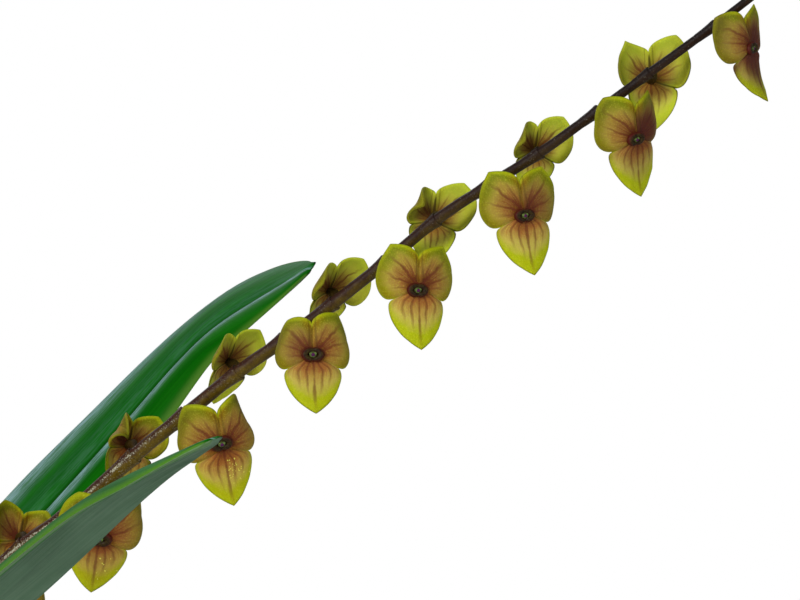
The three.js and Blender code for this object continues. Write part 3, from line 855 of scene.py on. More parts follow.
@dataclass(frozen=True)
class StalkFinish(Finish):
    """The raceme's stalk. paint: share up the stalk, underside, bract. tint: ovary."""

    purple: Colour = srgb(18, 6, 5)
    brown: Colour = srgb(56, 24, 10)
    olive: Colour = srgb(90, 72, 8)
    dusk: Colour = srgb(40, 22, 6)
    green: Colour = srgb(46, 42, 10)
    shadow: Colour = srgb(16, 7, 5)
    scurf: Colour = srgb(196, 194, 172)
    streak_turn: float = 0.42
    cloud_scale: float = 700.0
    speck_scale: float = 2600.0
    flake_scale: float = 4200.0
    shine: float = 0.14
    relief: tuple[float, float] = (0.00014, 0.7)

    def make(self) -> bpy.types.Material:
        """Builds the material.

        Returns:
            The material.
        """
        s = Shader("raceme_stalk")
        share, under, bract = s.painted(Layer.PAINT)
        ovary, _, _ = s.painted(Layer.TINT)
        cloud = s.noise(self.cloud_scale, 4.0)
        speck = s.noise(self.speck_scale, 5.0, 0.7)
        flake = s.noise(self.flake_scale, 3.0, 0.6)
        top = s.mix(s.step(share, 0.25, 0.75), self.brown, self.purple)
        low = s.mix(s.step(share, 0.3, 0.7), self.olive, self.dusk)
        turn = s.plus(under, s.swing(cloud, 0.9), s.step(share, 0.25, 0.5, 0.16, 0.0))
        skin = s.mix(s.step(turn, 0.35, 0.85), top, low)
        skin = s.mix(s.step(speck, 0.4, 0.75, 0.0, 0.5), skin, self.shadow)
        low_part = s.step(share, 0.28, 0.42, 1.0, 0.0)
        front = s.step(s.apart(under, self.streak_turn), 0.02, 0.2, 1.0, 0.0)
        streak = s.times(front, low_part, s.step(cloud, 0.3, 0.6, 0.4, 1.0))
        amount = s.plus(s.times(streak, 0.2), s.times(bract, 0.03), s.times(low_part, 0.02))
        dust = s.step(s.plus(flake, amount), 0.6, 0.85, 0.0, 0.8)
        dust = s.times(dust, s.step(low_part, 0.0, 1.0, 0.35, 1.0))
        skin = s.mix(dust, skin, self.scurf)
        skin = s.mix(s.times(ovary, 0.6), skin, self.green)
        height = s.plus(s.times(speck, 0.6), s.times(dust, 0.7))
        return s.finish(Base_Color=skin, Roughness=s.step(dust, 0.0, 1.0, 0.46, 0.8),
                        Specular_IOR_Level=self.shine, Normal=s.relief(height, *self.relief))


@dataclass(frozen=True)
class LeafFinish(Finish):
    """A leathery leaf. paint: place across and along in millimetres, and 1 on the upper side.

    tint: share of the half width from the midrib, margin, keel.
    """

    deep: Colour = srgb(2, 80, 0)
    light: Colour = srgb(22, 104, 12)
    shade: Colour = srgb(2, 44, 3)
    margin: Colour = srgb(98, 138, 52)
    under: Colour = srgb(88, 116, 92)
    under_dark: Colour = srgb(72, 98, 76)
    under_light: Colour = srgb(116, 140, 118)
    keel: Colour = srgb(28, 104, 4)
    # Painted reflection: the bluish-white sheen of light on the upper side, and where along the leaf it
    # ends.
    sheen: Colour = srgb(146, 178, 188)
    sheen_end: tuple[float, float] = (105.0, 145.0)
    fibre_stretch: Triple = (2.4, 0.05, 1.0)
    streak_stretch: Triple = (0.5, 0.02, 1.0)
    fleck_stretch: Triple = (3.2, 0.16, 1.0)
    pore_scale: float = 4200.0
    cloud_scale: float = 60.0
    shine: float = 0.02
    relief: tuple[float, float] = (0.0001, 0.45)

    def make(self) -> bpy.types.Material:
        """Builds the material.

        Returns:
            The material.
        """
        s = Shader("leaf")
        across, length, upper = s.painted(Layer.PAINT)
        away, margin, keel = s.painted(Layer.TINT)
        fibre = s.noise(1.0, 4.0, 0.6, self.fibre_stretch, Layer.PAINT)
        streak = s.noise(1.0, 3.0, 0.5, self.streak_stretch, Layer.PAINT)
        fleck = s.noise(1.0, 3.0, 0.7, self.fleck_stretch, Layer.PAINT)
        pore = s.noise(self.pore_scale, 2.0)
        cloud = s.noise(self.cloud_scale, 3.0)
        top = s.mix(s.step(streak, 0.3, 0.75, 0.0, 0.7), self.deep, self.light)
        top = s.mix(s.step(fibre, 0.4, 0.8, 0.0, 0.4), top, self.shade)
        top = s.mix(s.step(away, 0.0, 0.08, 0.6, 0.0), top, self.shade)
        # Painted reflection: a streaky sheen beside the midrib on one half of the upper side.
        beside = s.times(s.step(away, 0.03, 0.1), s.step(away, 0.45, 0.12),
                         s.step(across, 0.0, 0.5, 1.0, 0.1))
        # Painted reflection: a sheen on the outer part of the other half, towards the base.
        outside = s.times(s.step(away, 0.35, 0.85), s.step(across, 0.0, 0.5),
                          s.step(length, *self.sheen_end, 1.0, 0.1))
        sheen = s.times(s.larger(beside, outside), s.step(fleck, 0.38, 0.62, 0.2, 1.0))
        top = s.mix(s.times(sheen, 0.8), top, self.sheen)
        bottom = s.mix(s.step(cloud, 0.3, 0.7), self.under_dark, self.under)
        bottom = s.mix(s.step(fibre, 0.35, 0.75, 0.0, 0.35), bottom, self.under_light)
        bottom = s.mix(s.step(keel, 0.05, 0.4, 0.0, 0.45), bottom, self.under_light)
        bottom = s.mix(s.step(keel, 0.42, 0.9, 0.0, 0.92), bottom, self.keel)
        face = s.step(upper, 0.45, 0.55)
        skin = s.mix(face, bottom, top)
        skin = s.mix(s.times(margin, s.step(face, 0.0, 1.0, 0.7, 0.5)), skin, self.margin)
        rough = s.plus(s.step(face, 0.0, 1.0, 0.7, 0.42), s.swing(fibre, 0.12))
        height = s.plus(s.times(fibre, 0.8), s.times(pore, 0.25))
        return s.finish(Base_Color=skin, Roughness=rough,
                        Specular_IOR_Level=self.shine, Normal=s.relief(height, *self.relief))


@dataclass(frozen=True)
class SheathFinish(Finish):
    """Papery sheaths on green stems. paint: sheath, share up the stem, angle. tint: mouth."""

    paper: Colour = srgb(164, 138, 96)
    brown: Colour = srgb(98, 74, 44)
    green: Colour = srgb(84, 112, 42)
    pale_green: Colour = srgb(120, 134, 60)
    mouth: Colour = srgb(70, 48, 28)
    rib_stretch: Triple = (9000.0, 9000.0, 260.0)
    cloud_scale: float = 160.0
    relief: tuple[float, float] = (0.00035, 0.7)

    def make(self) -> bpy.types.Material:
        """Builds the material.

        Returns:
            The material.
        """
        s = Shader("stem_sheath")
        sheath, _, _ = s.painted(Layer.PAINT)
        mouth, _, _ = s.painted(Layer.TINT)
        rib = s.noise(1.0, 4.0, 0.6, self.rib_stretch)
        cloud = s.noise(self.cloud_scale, 4.0)
        dry = s.mix(s.step(rib, 0.35, 0.7), self.brown, self.paper)
        dry = s.mix(s.step(cloud, 0.35, 0.7, 0.0, 0.6), dry, self.brown)
        dry = s.mix(s.times(mouth, 0.7), dry, self.mouth)
        live = s.mix(s.step(cloud, 0.3, 0.7), self.green, self.pale_green)
        return s.finish(Base_Color=s.mix(sheath, live, dry),
                        Roughness=s.step(sheath, 0.0, 1.0, 0.45, 0.75),
                        Normal=s.relief(rib, *self.relief))


@dataclass(frozen=True)
class BarkFinish(Finish):
    """Bark chips and crumbs. paint: tone, lightness and moss."""

    dark: Colour = srgb(44, 28, 20)
    mid: Colour = srgb(98, 62, 40)
    light: Colour = srgb(150, 108, 74)
    grit: Colour = srgb(226, 222, 210)
    moss: Colour = srgb(52, 78, 20)
    pale_moss: Colour = srgb(112, 132, 44)
    cloud_scale: float = 420.0
    layer_stretch: Triple = (1.0, 1.0, 3.0)
    layer_scale: float = 900.0
    roughness: float = 0.9
    shine: float = 0.2
    relief: tuple[float, float] = (0.0006, 0.9)

    def make(self) -> bpy.types.Material:
        """Builds the material.

        Returns:
            The material.
        """
        s = Shader("bark_mix")
        tone, light, moss = s.painted(Layer.PAINT)
        cloud = s.noise(self.cloud_scale, 5.0, 0.65)
        layer = s.noise(self.layer_scale, 4.0, 0.6, self.layer_stretch)
        mixed = s.plus(tone, s.swing(cloud, 0.9))
        skin = s.ramp(mixed, ((0.0, self.dark), (0.5, self.mid), (1.0, self.light)))
        skin = s.mix(s.step(layer, 0.5, 0.75, 0.0, 0.5), skin, self.dark)
        skin = s.mix(light, skin, self.grit)
        skin = s.mix(moss, skin, s.mix(cloud, self.moss, self.pale_moss))
        height = s.plus(cloud, s.times(layer, 0.6))
        return s.finish(Base_Color=skin, Roughness=self.roughness, Specular_IOR_Level=self.shine,
                        Normal=s.relief(height, *self.relief))


@dataclass(frozen=True)
class RootFinish(Finish):
    """Pale aerial roots with green tips. paint: share to the tip."""

    pale: Colour = srgb(196, 190, 168)
    dull: Colour = srgb(150, 142, 112)
    tip: Colour = srgb(116, 150, 60)
    cloud_scale: float = 900.0
    roughness: float = 0.7
    relief: tuple[float, float] = (0.0003, 0.6)

    def make(self) -> bpy.types.Material:
        """Builds the material.

        Returns:
            The material.
        """
        s = Shader("root")
        share, _, _ = s.painted(Layer.PAINT)
        cloud = s.noise(self.cloud_scale, 4.0)
        skin = s.mix(s.step(cloud, 0.35, 0.7), self.pale, self.dull)
        skin = s.mix(s.step(share, 0.8, 0.95, 0.0, 0.85), skin, self.tip)
        return s.finish(Base_Color=skin, Roughness=self.roughness, Normal=s.relief(cloud, *self.relief))


@dataclass(frozen=True)
class ClayFinish(Finish):
    """Fired clay with lime bloom and damp. paint: share of the height, inside, edge."""

    clay: Colour = srgb(186, 104, 66)
    pale: Colour = srgb(206, 136, 98)
    dark: Colour = srgb(140, 72, 46)
    lime: Colour = srgb(222, 206, 190)
    speck: Colour = srgb(96, 52, 36)
    damp: Colour = srgb(92, 56, 40)
    cloud_scale: float = 28.0
    blotch_scale: float = 70.0
    throw_stretch: Triple = (6.0, 6.0, 620.0)
    sand_scale: float = 3200.0
    roughness: float = 0.86
    shine: float = 0.25
    relief: tuple[float, float] = (0.0004, 0.6)

    def make(self) -> bpy.types.Material:
        """Builds the material.

        Returns:
            The material.
        """
        s = Shader("terracotta")
        height, inside, edge = s.painted(Layer.PAINT)
        cloud = s.noise(self.cloud_scale, 5.0, 0.6)
        blotch = s.noise(self.blotch_scale, 5.0, 0.7)
        throw = s.noise(1.0, 3.0, 0.5, self.throw_stretch)
        sand = s.noise(self.sand_scale, 2.0)
        skin = s.ramp(cloud, ((0.25, self.dark), (0.5, self.clay), (0.78, self.pale)))
        skin = s.mix(s.step(throw, 0.35, 0.7, 0.0, 0.3), skin, self.dark)
        skin = s.mix(s.step(sand, 0.62, 0.8, 0.0, 0.35), skin, self.speck)
        bloom = s.times(s.step(blotch, 0.5, 0.72), s.step(height, 0.1, 0.95, 0.25, 0.75))
        skin = s.mix(bloom, skin, self.lime)
        skin = s.mix(s.times(edge, 0.35), skin, self.pale)
        skin = s.mix(s.times(inside, 0.45), skin, self.damp)
        shape = s.plus(s.times(throw, 0.5), s.times(sand, 0.3))
        return s.finish(Base_Color=skin, Roughness=self.roughness, Specular_IOR_Level=self.shine,
                        Normal=s.relief(shape, *self.relief))


@dataclass(frozen=True)
class FloorFinish(Finish):
    """The plain pale floor."""

    pale: Colour = (0.8, 0.8, 0.79)
    roughness: float = 0.8

    def make(self) -> bpy.types.Material:
        """Builds the material."""
        return Shader("floor").finish(Base_Color=self.pale, Roughness=self.roughness)


@dataclass(frozen=True)
class Pot:
    """A plain terracotta pot, 12 cm wide at the rim, with drain holes."""

    height: float = 112.0
    foot_radius: float = 43.0
    top_radius: float = 57.0
    wall: float = 6.0
    rim_height: float = 21.0
    rim_proud: float = 3.0
    edge: float = 1.5
    lip_depth: float = 4.0
    corner: float = 3.0
    drain_radius: float = 4.5
    drain_ring: float = 24.0
    drain_count: int = 3
    drain_sides: int = 40
    sides: int = 160
    longest_step: float = 5.0

    def room(self, level: float, radius: float) -> float:
        """The longest half length of a chip that stays inside the wall."""
        return max(0.6, self.bore(level) - 1.5 - radius)

    def bore(self, height: float) -> float:
        """The inner wall's radius at a height."""
        slope = (self.top_radius - self.foot_radius) / self.height
        return self.foot_radius + slope * height - self.wall

    def outline(self) -> Array:
        """The half section, from the middle of the foot round to the middle of the floor.

        Returns:
            Rows of radius and height.
        """
        rim_foot = self.height - self.rim_height
        shoulder = self.bore(rim_foot) + self.wall
        outer = self.top_radius + self.rim_proud
        floor_curve = self.wall + self.corner
        return np.array([
            [0.3, 0], [20, 0], [self.foot_radius - self.edge, 0],
            [self.foot_radius - 0.4, 0.35], [self.foot_radius, self.edge],
            [self.bore(30) + self.wall, 30], [self.bore(60) + self.wall, 60],
            [shoulder, rim_foot - 0.4], [shoulder + 0.5, rim_foot],
            [shoulder + self.rim_proud - 0.4, rim_foot + 0.9],
            [shoulder + self.rim_proud, rim_foot + self.edge], [outer - 0.3, self.height - 9],
            [outer, self.height - 2 * self.edge], [outer - 0.4, self.height - 1.1],
            [outer - self.edge, self.height - 0.3 * self.edge], [self.top_radius, self.height],
            [self.bore(self.height) + self.edge + 0.8, self.height - 0.3],
            [self.bore(self.height) + self.edge, self.height - self.edge],
            [self.bore(self.height - self.lip_depth), self.height - self.lip_depth],
            [self.bore(floor_curve), floor_curve],
            [self.bore(self.wall) - self.corner, self.wall], [0.3, self.wall]])

    def build(self) -> bpy.types.Object:
        """Turns the section and drills the drain holes.

        Returns:
            The pot.
        """
        outline = self.outline()
        fine = [outline[0]]
        for a, b in zip(outline[:-1], outline[1:]):
            parts = max(1, int(np.linalg.norm(b - a) / self.longest_step))
            fine += [a + (b - a) * (k + 1) / parts for k in range(parts)]
        section = np.array(fine)
        angle = around(self.sides, 0.0)
        wander = 0.12 * np.sin(3 * angle + 0.7) + 0.08 * np.sin(7 * angle + 2.1)
        rows, paints = [], []
        for radius, height in section:
            wavy = radius + (wander * smooth(5.0, 20.0, height) if radius > 30 else 0.0)
            rows.append(np.stack([wavy * np.cos(angle), wavy * np.sin(angle),
                                  np.full(self.sides, height)], axis=-1))
            inner = radius < self.bore(height) + 1.0 and height > self.wall - 1.0
            brim = bump(height, self.height, 2.5)
            paints.append(np.broadcast_to([height / self.height, float(inner), brim],
                                          (self.sides, 3)))
        draft = Draft("pot_body")
        draft.grid(np.array(rows), np.array(paints))
        pot = draft.build(ClayFinish(), "terracotta", ["pot"])
        self.drill(pot)
        return pot

    def drill(self, pot: bpy.types.Object) -> None:
        """Cuts the drain holes through the floor.

        Args:
            pot: the turned pot.
        """
        for k in range(self.drain_count):
            turn = math.radians(90 + 360 * k / self.drain_count)
            bpy.ops.mesh.primitive_cylinder_add(
                vertices=self.drain_sides, radius=self.drain_radius * MM, depth=3 * self.wall * MM,
                location=(self.drain_ring * MM * math.cos(turn), self.drain_ring * MM * math.sin(turn),
                          self.wall / 2 * MM))
            cutter = bpy.context.object
            cut = pot.modifiers.new("drain", "BOOLEAN")
            cut.object = cutter
            cut.solver = "EXACT"
            bpy.context.view_layer.objects.active = pot
            bpy.ops.object.modifier_apply(modifier=cut.name)
            bpy.data.objects.remove(cutter)


@dataclass(frozen=True)
class PottingMix:
    """Bark mix: a crowned bed under loose chips and crumbs, some of them mossy."""

    pot: Pot
    feet: tuple[tuple[float, float], ...]
    level: float = 101.0
    crown: float = 2.5
    relief: float = 2.2
    chips: int = 520
    crumbs: int = 700
    seed: int = 7

    BED_SIDES = 120
    BED_RINGS = 34
    BED_TONE = 0.12
    BED_ROUGHNESS = 0.4
    CHIP_RINGS = 6
    CHIP_SIDES = 8
    WALL_GAP = 4.5
    FOOT_GAP = 2.6
    MOSSY = 0.07
    GRITTY = 0.9

    def top(self, x: Union[float, Array], y: Union[float, Array]) -> Union[float, Array]:
        """Height of the bed.

        Args:
            x: the place along X.
            y: the place along Y.

        Returns:
            The height above the pot's foot.
        """
        reach = self.pot.bore(self.level)
        lumps = np.sin(x * 0.55 + 1.3) * np.cos(y * 0.62 - 0.4) + 0.6 * np.sin((x - y) * 0.83)
        return self.level + self.crown * (1 - (x * x + y * y) / reach ** 2) + 0.35 * self.relief * lumps

    def bed(self) -> bpy.types.Object:
        """The bed of fine mix that fills the pot.

        Returns:
            The bed.
        """
        sides, draft = self.BED_SIDES, Draft("bark_bed")
        angle = around(sides, 0.0)
        base = [(self.pot.bore(self.pot.wall) - self.pot.corner - 1.0, self.pot.wall + 0.4),
                (self.pot.bore(self.pot.wall + 3) - 0.6, self.pot.wall + 3.4),
                (self.pot.bore(60) - 0.5, 60.0), (self.pot.bore(self.level - 3) - 0.5, self.level - 3)]
        rows = [np.stack([r * np.cos(angle), r * np.sin(angle), np.full(sides, z)], axis=-1)
                for r, z in base]
        rim = self.pot.bore(self.level) - 0.6
        rng = np.random.default_rng(self.seed)
        for share in np.linspace(1.0, 0.04, self.BED_RINGS):
            x, y = rim * share * np.cos(angle), rim * share * np.sin(angle)
            rough = rng.uniform(-self.BED_ROUGHNESS, self.BED_ROUGHNESS, sides) * (share > 0.1)
            rows.append(np.stack([x, y, self.top(x, y) - 0.6 + rough], axis=-1))
        grid = np.array(rows)
        tone = np.full(grid.shape, 0.0)
        tone[..., 0] = self.BED_TONE
        draft.grid(grid, tone)
        return draft.build(BarkFinish(), "bark_mix", ["potting_mix"])

    def lump(self, rng: np.random.Generator, centre: Array, size: Array, turn: float,
             lean: Array) -> Array:
        """Rows of one chip.

        Args:
            rng: the source of its roughness.
            centre: its middle.
            size: its half length, half width and half thickness.
            turn: degrees round from +X.
            lean: how far its top leans, across and along.

        Returns:
            Rows of points round its length.
        """
        count, width = self.CHIP_RINGS, self.CHIP_SIDES
        c, s = math.cos(math.radians(turn)), math.sin(math.radians(turn))
        along = unit(np.array([c, s, lean[0]]))
        side, top = axes_across(along, np.array([-s * lean[1], c * lean[1], 1.0]))
        rows = []
        for k in range(count):
            t = -1 + 2 * k / (count - 1)
            girth = (1 - 0.45 * abs(t) ** 3) * rng.uniform(0.85, 1.1)
            angle = around(width)
            corner = 1 / np.maximum(np.abs(np.cos(angle)), np.abs(np.sin(angle)))
            reach = girth * corner * 0.8 * rng.uniform(0.82, 1.12, width)
            rows.append(centre + along * t * size[0]
                        + np.outer(reach * np.cos(angle) * size[1], side)
                        + np.outer(reach * np.sin(angle) * size[2], top))
        return np.array(rows)

    def loose(self) -> list[bpy.types.Object]:
        """The chips and crumbs that lie on the bed.

        Returns:
            The chips and the crumbs.
        """
        rng = np.random.default_rng(self.seed + 1)
        chips, crumbs = Draft("bark_chips"), Draft("bark_crumbs")
        reach = self.pot.bore(self.level) - self.WALL_GAP
        for draft, count, low, high in ((chips, self.chips, 2.2, 5.6),
                                        (crumbs, self.crumbs, 0.6, 1.6)):
            for _ in range(count):
                radius, turn = reach * math.sqrt(rng.uniform(0, 1)), rng.uniform(0, ALL_ROUND)
                x, y = radius * math.cos(turn), radius * math.sin(turn)
                long = rng.uniform(low, high)
                wide, thick = long * rng.uniform(0.4, 0.8), long * rng.uniform(0.18, 0.38)
                long = min(long, self.pot.room(self.level, radius))
                clear = min(math.hypot(x - fx, y - fy) for fx, fy in self.feet)
                if clear < self.FOOT_GAP + 0.6 * long:
                    continue
                rise = self.top(x, y) + rng.uniform(-0.6, 1.3) + (0.4 if draft is chips else 1.1)
                rows = self.lump(rng, np.array([x, y, rise]), np.array([long, wide, thick]),
                                 rng.uniform(0, 360), rng.normal(0, 0.3, 2))
                kind = rng.uniform()
                tone = np.array([rng.uniform(0.15, 0.95), 0.0, 0.0])
                if draft is crumbs and kind > self.GRITTY:
                    tone[1] = 1.0
                if kind < self.MOSSY:
                    tone[2] = 1.0
                draft.grid(rows, tone)
        return [draft.build(BarkFinish(), "bark_mix", ["potting_mix"]) for draft in (chips, crumbs)]


@dataclass(frozen=True)
class Shoot:
    """One ramicaul with its leaf.

    rises and drifts steer the leaf's midrib, leg by leg. rolls tip the blade at its base and its
    tip, and twist is added halfway. rib is the midrib's place across the half width at the base
    and the tip. keel_gap, if given, is how far the midrib's line runs from an edge below.
    """

    number: int
    foot: tuple[float, float]
    heading: float
    stem: float
    stem_rises: tuple[float, float]
    leaf: float
    width: float
    rises: tuple[float, ...]
    drifts: tuple[float, ...]
    rolls: tuple[float, float]
    twist: float = 0.0
    widest: float = 0.5
    taper: float = 1.8
    arch: float = 0.85
    rib: tuple[float, float] = (0.0, 0.0)
    keel_gap: float = 0.0

    MIX_LEVEL = 101.0
    GAP = 0.3
    HOLE_DEPTH = 15.0
    STEM_RADIUS = 1.7
    # Share of the stem's length, thickness, slant of a mouth, and 1 where a sheath covers it.
    STEM_RINGS = ((0, 1.15, 0, 0), (0.16, 1.3, 0, 1), (0.33, 1.5, 1.2, 1), (0.335, 1.05, 1.2, 0),
                  (0.45, 1.15, 0, 1), (0.64, 1.35, 1.4, 1), (0.645, 0.92, 1.4, 0),
                  (0.84, 0.86, 0, 0), (1, 1.05, 0, 0))
    SET_BACK = 1.25
    PETIOLE_HALF_WIDTH = 1.6
    PETIOLE_THICKNESS = 2.2
    BLADE_THICKNESS = 1.1
    CREST = 0.42
    TIP_HALF_WIDTH = 1.9
    TIP_NOTCH = 1.1
    TIP_START = 0.94
    LEAF_STATIONS = 78
    TIP_STATIONS = 16
    POINTS_ACROSS = 41
    EDGE_CROWDING = 1.12
    RIPPLE = 0.03
    KEEL_HEIGHT = 0.55
    KEEL_SPREAD = 0.07
    LINE_SPREAD = 0.055
    STEM_SIDES = 20
    STEM_STEPS = 60
    WRINKLE = 0.035
    MOUTHS = (0.33, 0.64)
    MOUTH_SPREAD = 0.012

    @property
    def flowering(self) -> bool:
        """Whether the raceme stands on this shoot."""
        return self.number == 1

    def stem_curve(self) -> Bend:
        """The ramicaul's middle line, from the surface of the mix."""
        foot = np.array([*self.foot, self.MIX_LEVEL])
        return Bend(walked(foot, [direction(self.heading, r) for r in self.stem_rises], self.stem))

    def leaf_curve(self) -> Thread:
        """The leaf's middle line, from the stem's end.

        Returns:
            The curve.
        """
        legs = [direction(self.heading, r, d) for r, d in zip(self.rises, self.drifts)]
        stem = self.stem_curve()
        start = stem.at(1.0) + stem.along(1.0) * (self.GAP + 0.05)
        if self.flowering:
            start = start - self.leaf_axes(legs[0], 0.0)[1] * self.SET_BACK
        return Thread(walked(start, legs, self.leaf))

    def leaf_axes(self, along: Array, share: float) -> tuple[Array, Array]:
        """The blade's directions at a place.

        Args:
            along: the direction of its middle line there.
            share: the share of its length.

        Returns:
            The direction of its side and of its upper face.
        """
        out, left = direction(self.heading, 0), direction(self.heading + 90, 0)
        side, face = axes_across(along, np.array([0, 0, 1.0]) - out)
        low, high = self.rolls
        tipped = low + (high - low) * share + self.twist * 4 * share * (1 - share)
        roll = math.radians(tipped) * -np.sign(np.dot(side, left))
        turned = face * math.cos(roll) + side * math.sin(roll)
        return unit(np.cross(turned, along)), turned

    def half_width(self, share: float) -> float:
        """Half the blade's width.

        Args:
            share: the share of its length.

        Returns:
            The half width in millimetres.
        """
        full = self.width / 2
        if share < self.widest:
            rise = share / self.widest
            return self.PETIOLE_HALF_WIDTH + (full - self.PETIOLE_HALF_WIDTH) * (
                rise ** 1.7 * (2.3 - 1.3 * rise))
        fall = (share - self.widest) / (1 - self.widest)
        return max(self.TIP_HALF_WIDTH, full * math.sqrt(max(0.0, 1 - fall ** self.taper)))

    def build_leaf(self) -> bpy.types.Object:
        """The blade: a grooved midrib between two arched halves, as a gull's wings.

        Returns:
            The blade.
        """
        curve, stem = self.leaf_curve(), self.stem_curve()
        stations = np.unique(np.concatenate([np.linspace(0, self.TIP_START, self.LEAF_STATIONS),
                                             np.linspace(self.TIP_START, 1, self.TIP_STATIONS)]))
        rng = np.random.default_rng(40 + self.number)
        phase, waves = rng.uniform(0, 6.28, 2), rng.uniform(7, 11, 2)
        parts = []
        for share in stations:
            along = curve.along(share) if share else stem.along(1.0)
            parts.append(self.blade_row(curve.at(share), along, share, waves * share + phase))
        draft = Draft(f"leaf_blade_{self.number:02d}")
        draft.grid(*(np.array(part) for part in zip(*parts)))
        return draft.build(LeafFinish(), "leaf", [f"leaf_{self.number:02d}"])

    def blade_row(self, centre: Array, along: Array, share: float,
                  sway: Array) -> tuple[Array, Array, Array]:
        """One row of points round the blade, over its upper side and back below.

        Args:
            centre: the point on its middle line.
            along: the direction of that line.
            share: the share of its length.
            sway: the ripple's place in its wave, for each half.

        Returns:
            The points, their paint and their tint.
        """
        across = np.sin(np.linspace(-math.pi / 2, math.pi / 2, self.POINTS_ACROSS))
        across = np.sign(across) * np.abs(across) ** self.EDGE_CROWDING
        away = np.abs(across)
        side, face = self.leaf_axes(along, share)
        half = self.half_width(share)
        grown, tip = min(1.0, share / 0.3), max(0.0, (share - 0.9) / 0.1)
        thick = self.PETIOLE_THICKNESS + (self.BLADE_THICKNESS - self.PETIOLE_THICKNESS) * grown
        flat = 1 - 0.6 * tip
        rib = (self.rib[0] + (self.rib[1] - self.rib[0]) * share) * smooth(0.05, 0.4, share)
        stretch = 1 - rib * np.sign(across)
        v = rib + across * stretch
        bowl = away - self.CREST
        lift = -self.arch * half * bowl ** 2 * flat
        ripple = self.RIPPLE * half * grown * away ** 2 * np.where(across > 0, *np.sin(sway))
        slope = -2 * self.arch * bowl * np.sign(across) * flat / np.maximum(0.3, stretch)
        cut = bump(across, 0, 0.2) + 0.66 * (np.maximum(0, away - 0.45) / 0.55) ** 2
        middle = (centre + np.outer(v * half, side) + np.outer(lift + ripple, face)
                  + np.outer(-self.TIP_NOTCH * tip ** 2 * cut, along))
        normal = unit(face + np.outer(-slope, side))
        close = math.sqrt(max(0.0, 1 - max(0.0, (share - 0.985) / 0.015) ** 2)) * 0.9 + 0.1
        round_off = np.sqrt(np.clip(1 - away ** 10, 0, 1))
        body = thick * (1 - 0.35 * away * grown) / 2 * round_off * close
        fold = -max(0.0, 1 - self.keel_gap / half) if self.keel_gap else rib
        keel = self.KEEL_HEIGHT * bump(v, fold, self.KEEL_SPREAD) * grown * (1 - tip)
        front = middle + normal * body[:, None]
        back = middle - normal * (body + keel)[:, None]
        one, none = np.ones_like(v), np.zeros_like(v)
        place = np.stack([across * half, one * (share * self.leaf), one], axis=-1)
        edge = smooth(0.8, 1.0, away)
        line = np.maximum(bump(v, fold, self.LINE_SPREAD), 0.4 * bump(v, fold, 0.3))
        pale = smooth(fold, fold - 0.1, v) if self.keel_gap else edge
        tint = np.stack([away, edge, none], axis=-1)
        tint_below = np.stack([away, 0.5 * pale, line], axis=-1)
        return (np.vstack([front, back[::-1]]), np.vstack([place, (place * [1, 1, 0])[::-1]]),
                np.vstack([tint, tint_below[::-1]]))

    def build_stem(self) -> bpy.types.Object:
        """The ramicaul, with two papery sheaths that end in slanting mouths.

        Returns:
            The stem.
        """
        curve, sides = self.stem_curve(), self.STEM_SIDES
        wanted = direction(self.heading + 90, 0)
        start = curve.along(0.0)
        side, top = axes_across(start, wanted)
        rng = np.random.default_rng(70 + self.number)
        angle = around(sides)
        base = self.STEM_RADIUS * self.STEM_RINGS[0][1]
        rows = [ring(curve.at(0.0) - start * self.HOLE_DEPTH, side, top, base, sides)]
        paints = [np.zeros((sides, 3))]
        tints = [np.zeros((sides, 3))]
        folds = rng.uniform(0, 6.28, 3)
        for lower, upper in zip(self.STEM_RINGS[:-1], self.STEM_RINGS[1:]):
            steps = max(1, round((upper[0] - lower[0]) * self.STEM_STEPS))
            for k in range(steps):
                t = k / steps
                share, thick, slant, dress = (a + (b - a) * t for a, b in zip(lower, upper))
                dress = float(dress > 0.5 or (lower[3] and upper[3]))
                wrinkle = 1 + self.WRINKLE * dress * (
                    np.sin(3 * angle + folds[0] + 30 * share)
                    + np.sin(5 * angle + folds[1] - 18 * share))
                along = curve.along(share)
                s, u = axes_across(along, wanted)
                rows.append(ring(curve.at(share), s, u, self.STEM_RADIUS * thick * wrinkle, sides,
                                 along, slant))
                paints.append(np.stack([np.full(sides, dress), np.full(sides, share), angle], axis=-1))
                lip = max(bump(share, mouth, self.MOUTH_SPREAD) for mouth in self.MOUTHS)
                tints.append(np.broadcast_to([lip, 0.0, 0.0], (sides, 3)))
        along = curve.along(1.0)
        s, u = axes_across(along, wanted)
        rows.append(ring(curve.at(1.0), s, u, self.STEM_RADIUS * 1.05, sides))
        paints.append(np.broadcast_to([0.0, 1.0, 0.0], (sides, 3)))
        tints.append(np.zeros((sides, 3)))
        draft = Draft(f"ramicaul_{self.number:02d}")
        draft.grid(np.array(rows), np.array(paints), np.array(tints))
        return draft.build(SheathFinish(), "stem_sheath", [f"stem_{self.number:02d}"])


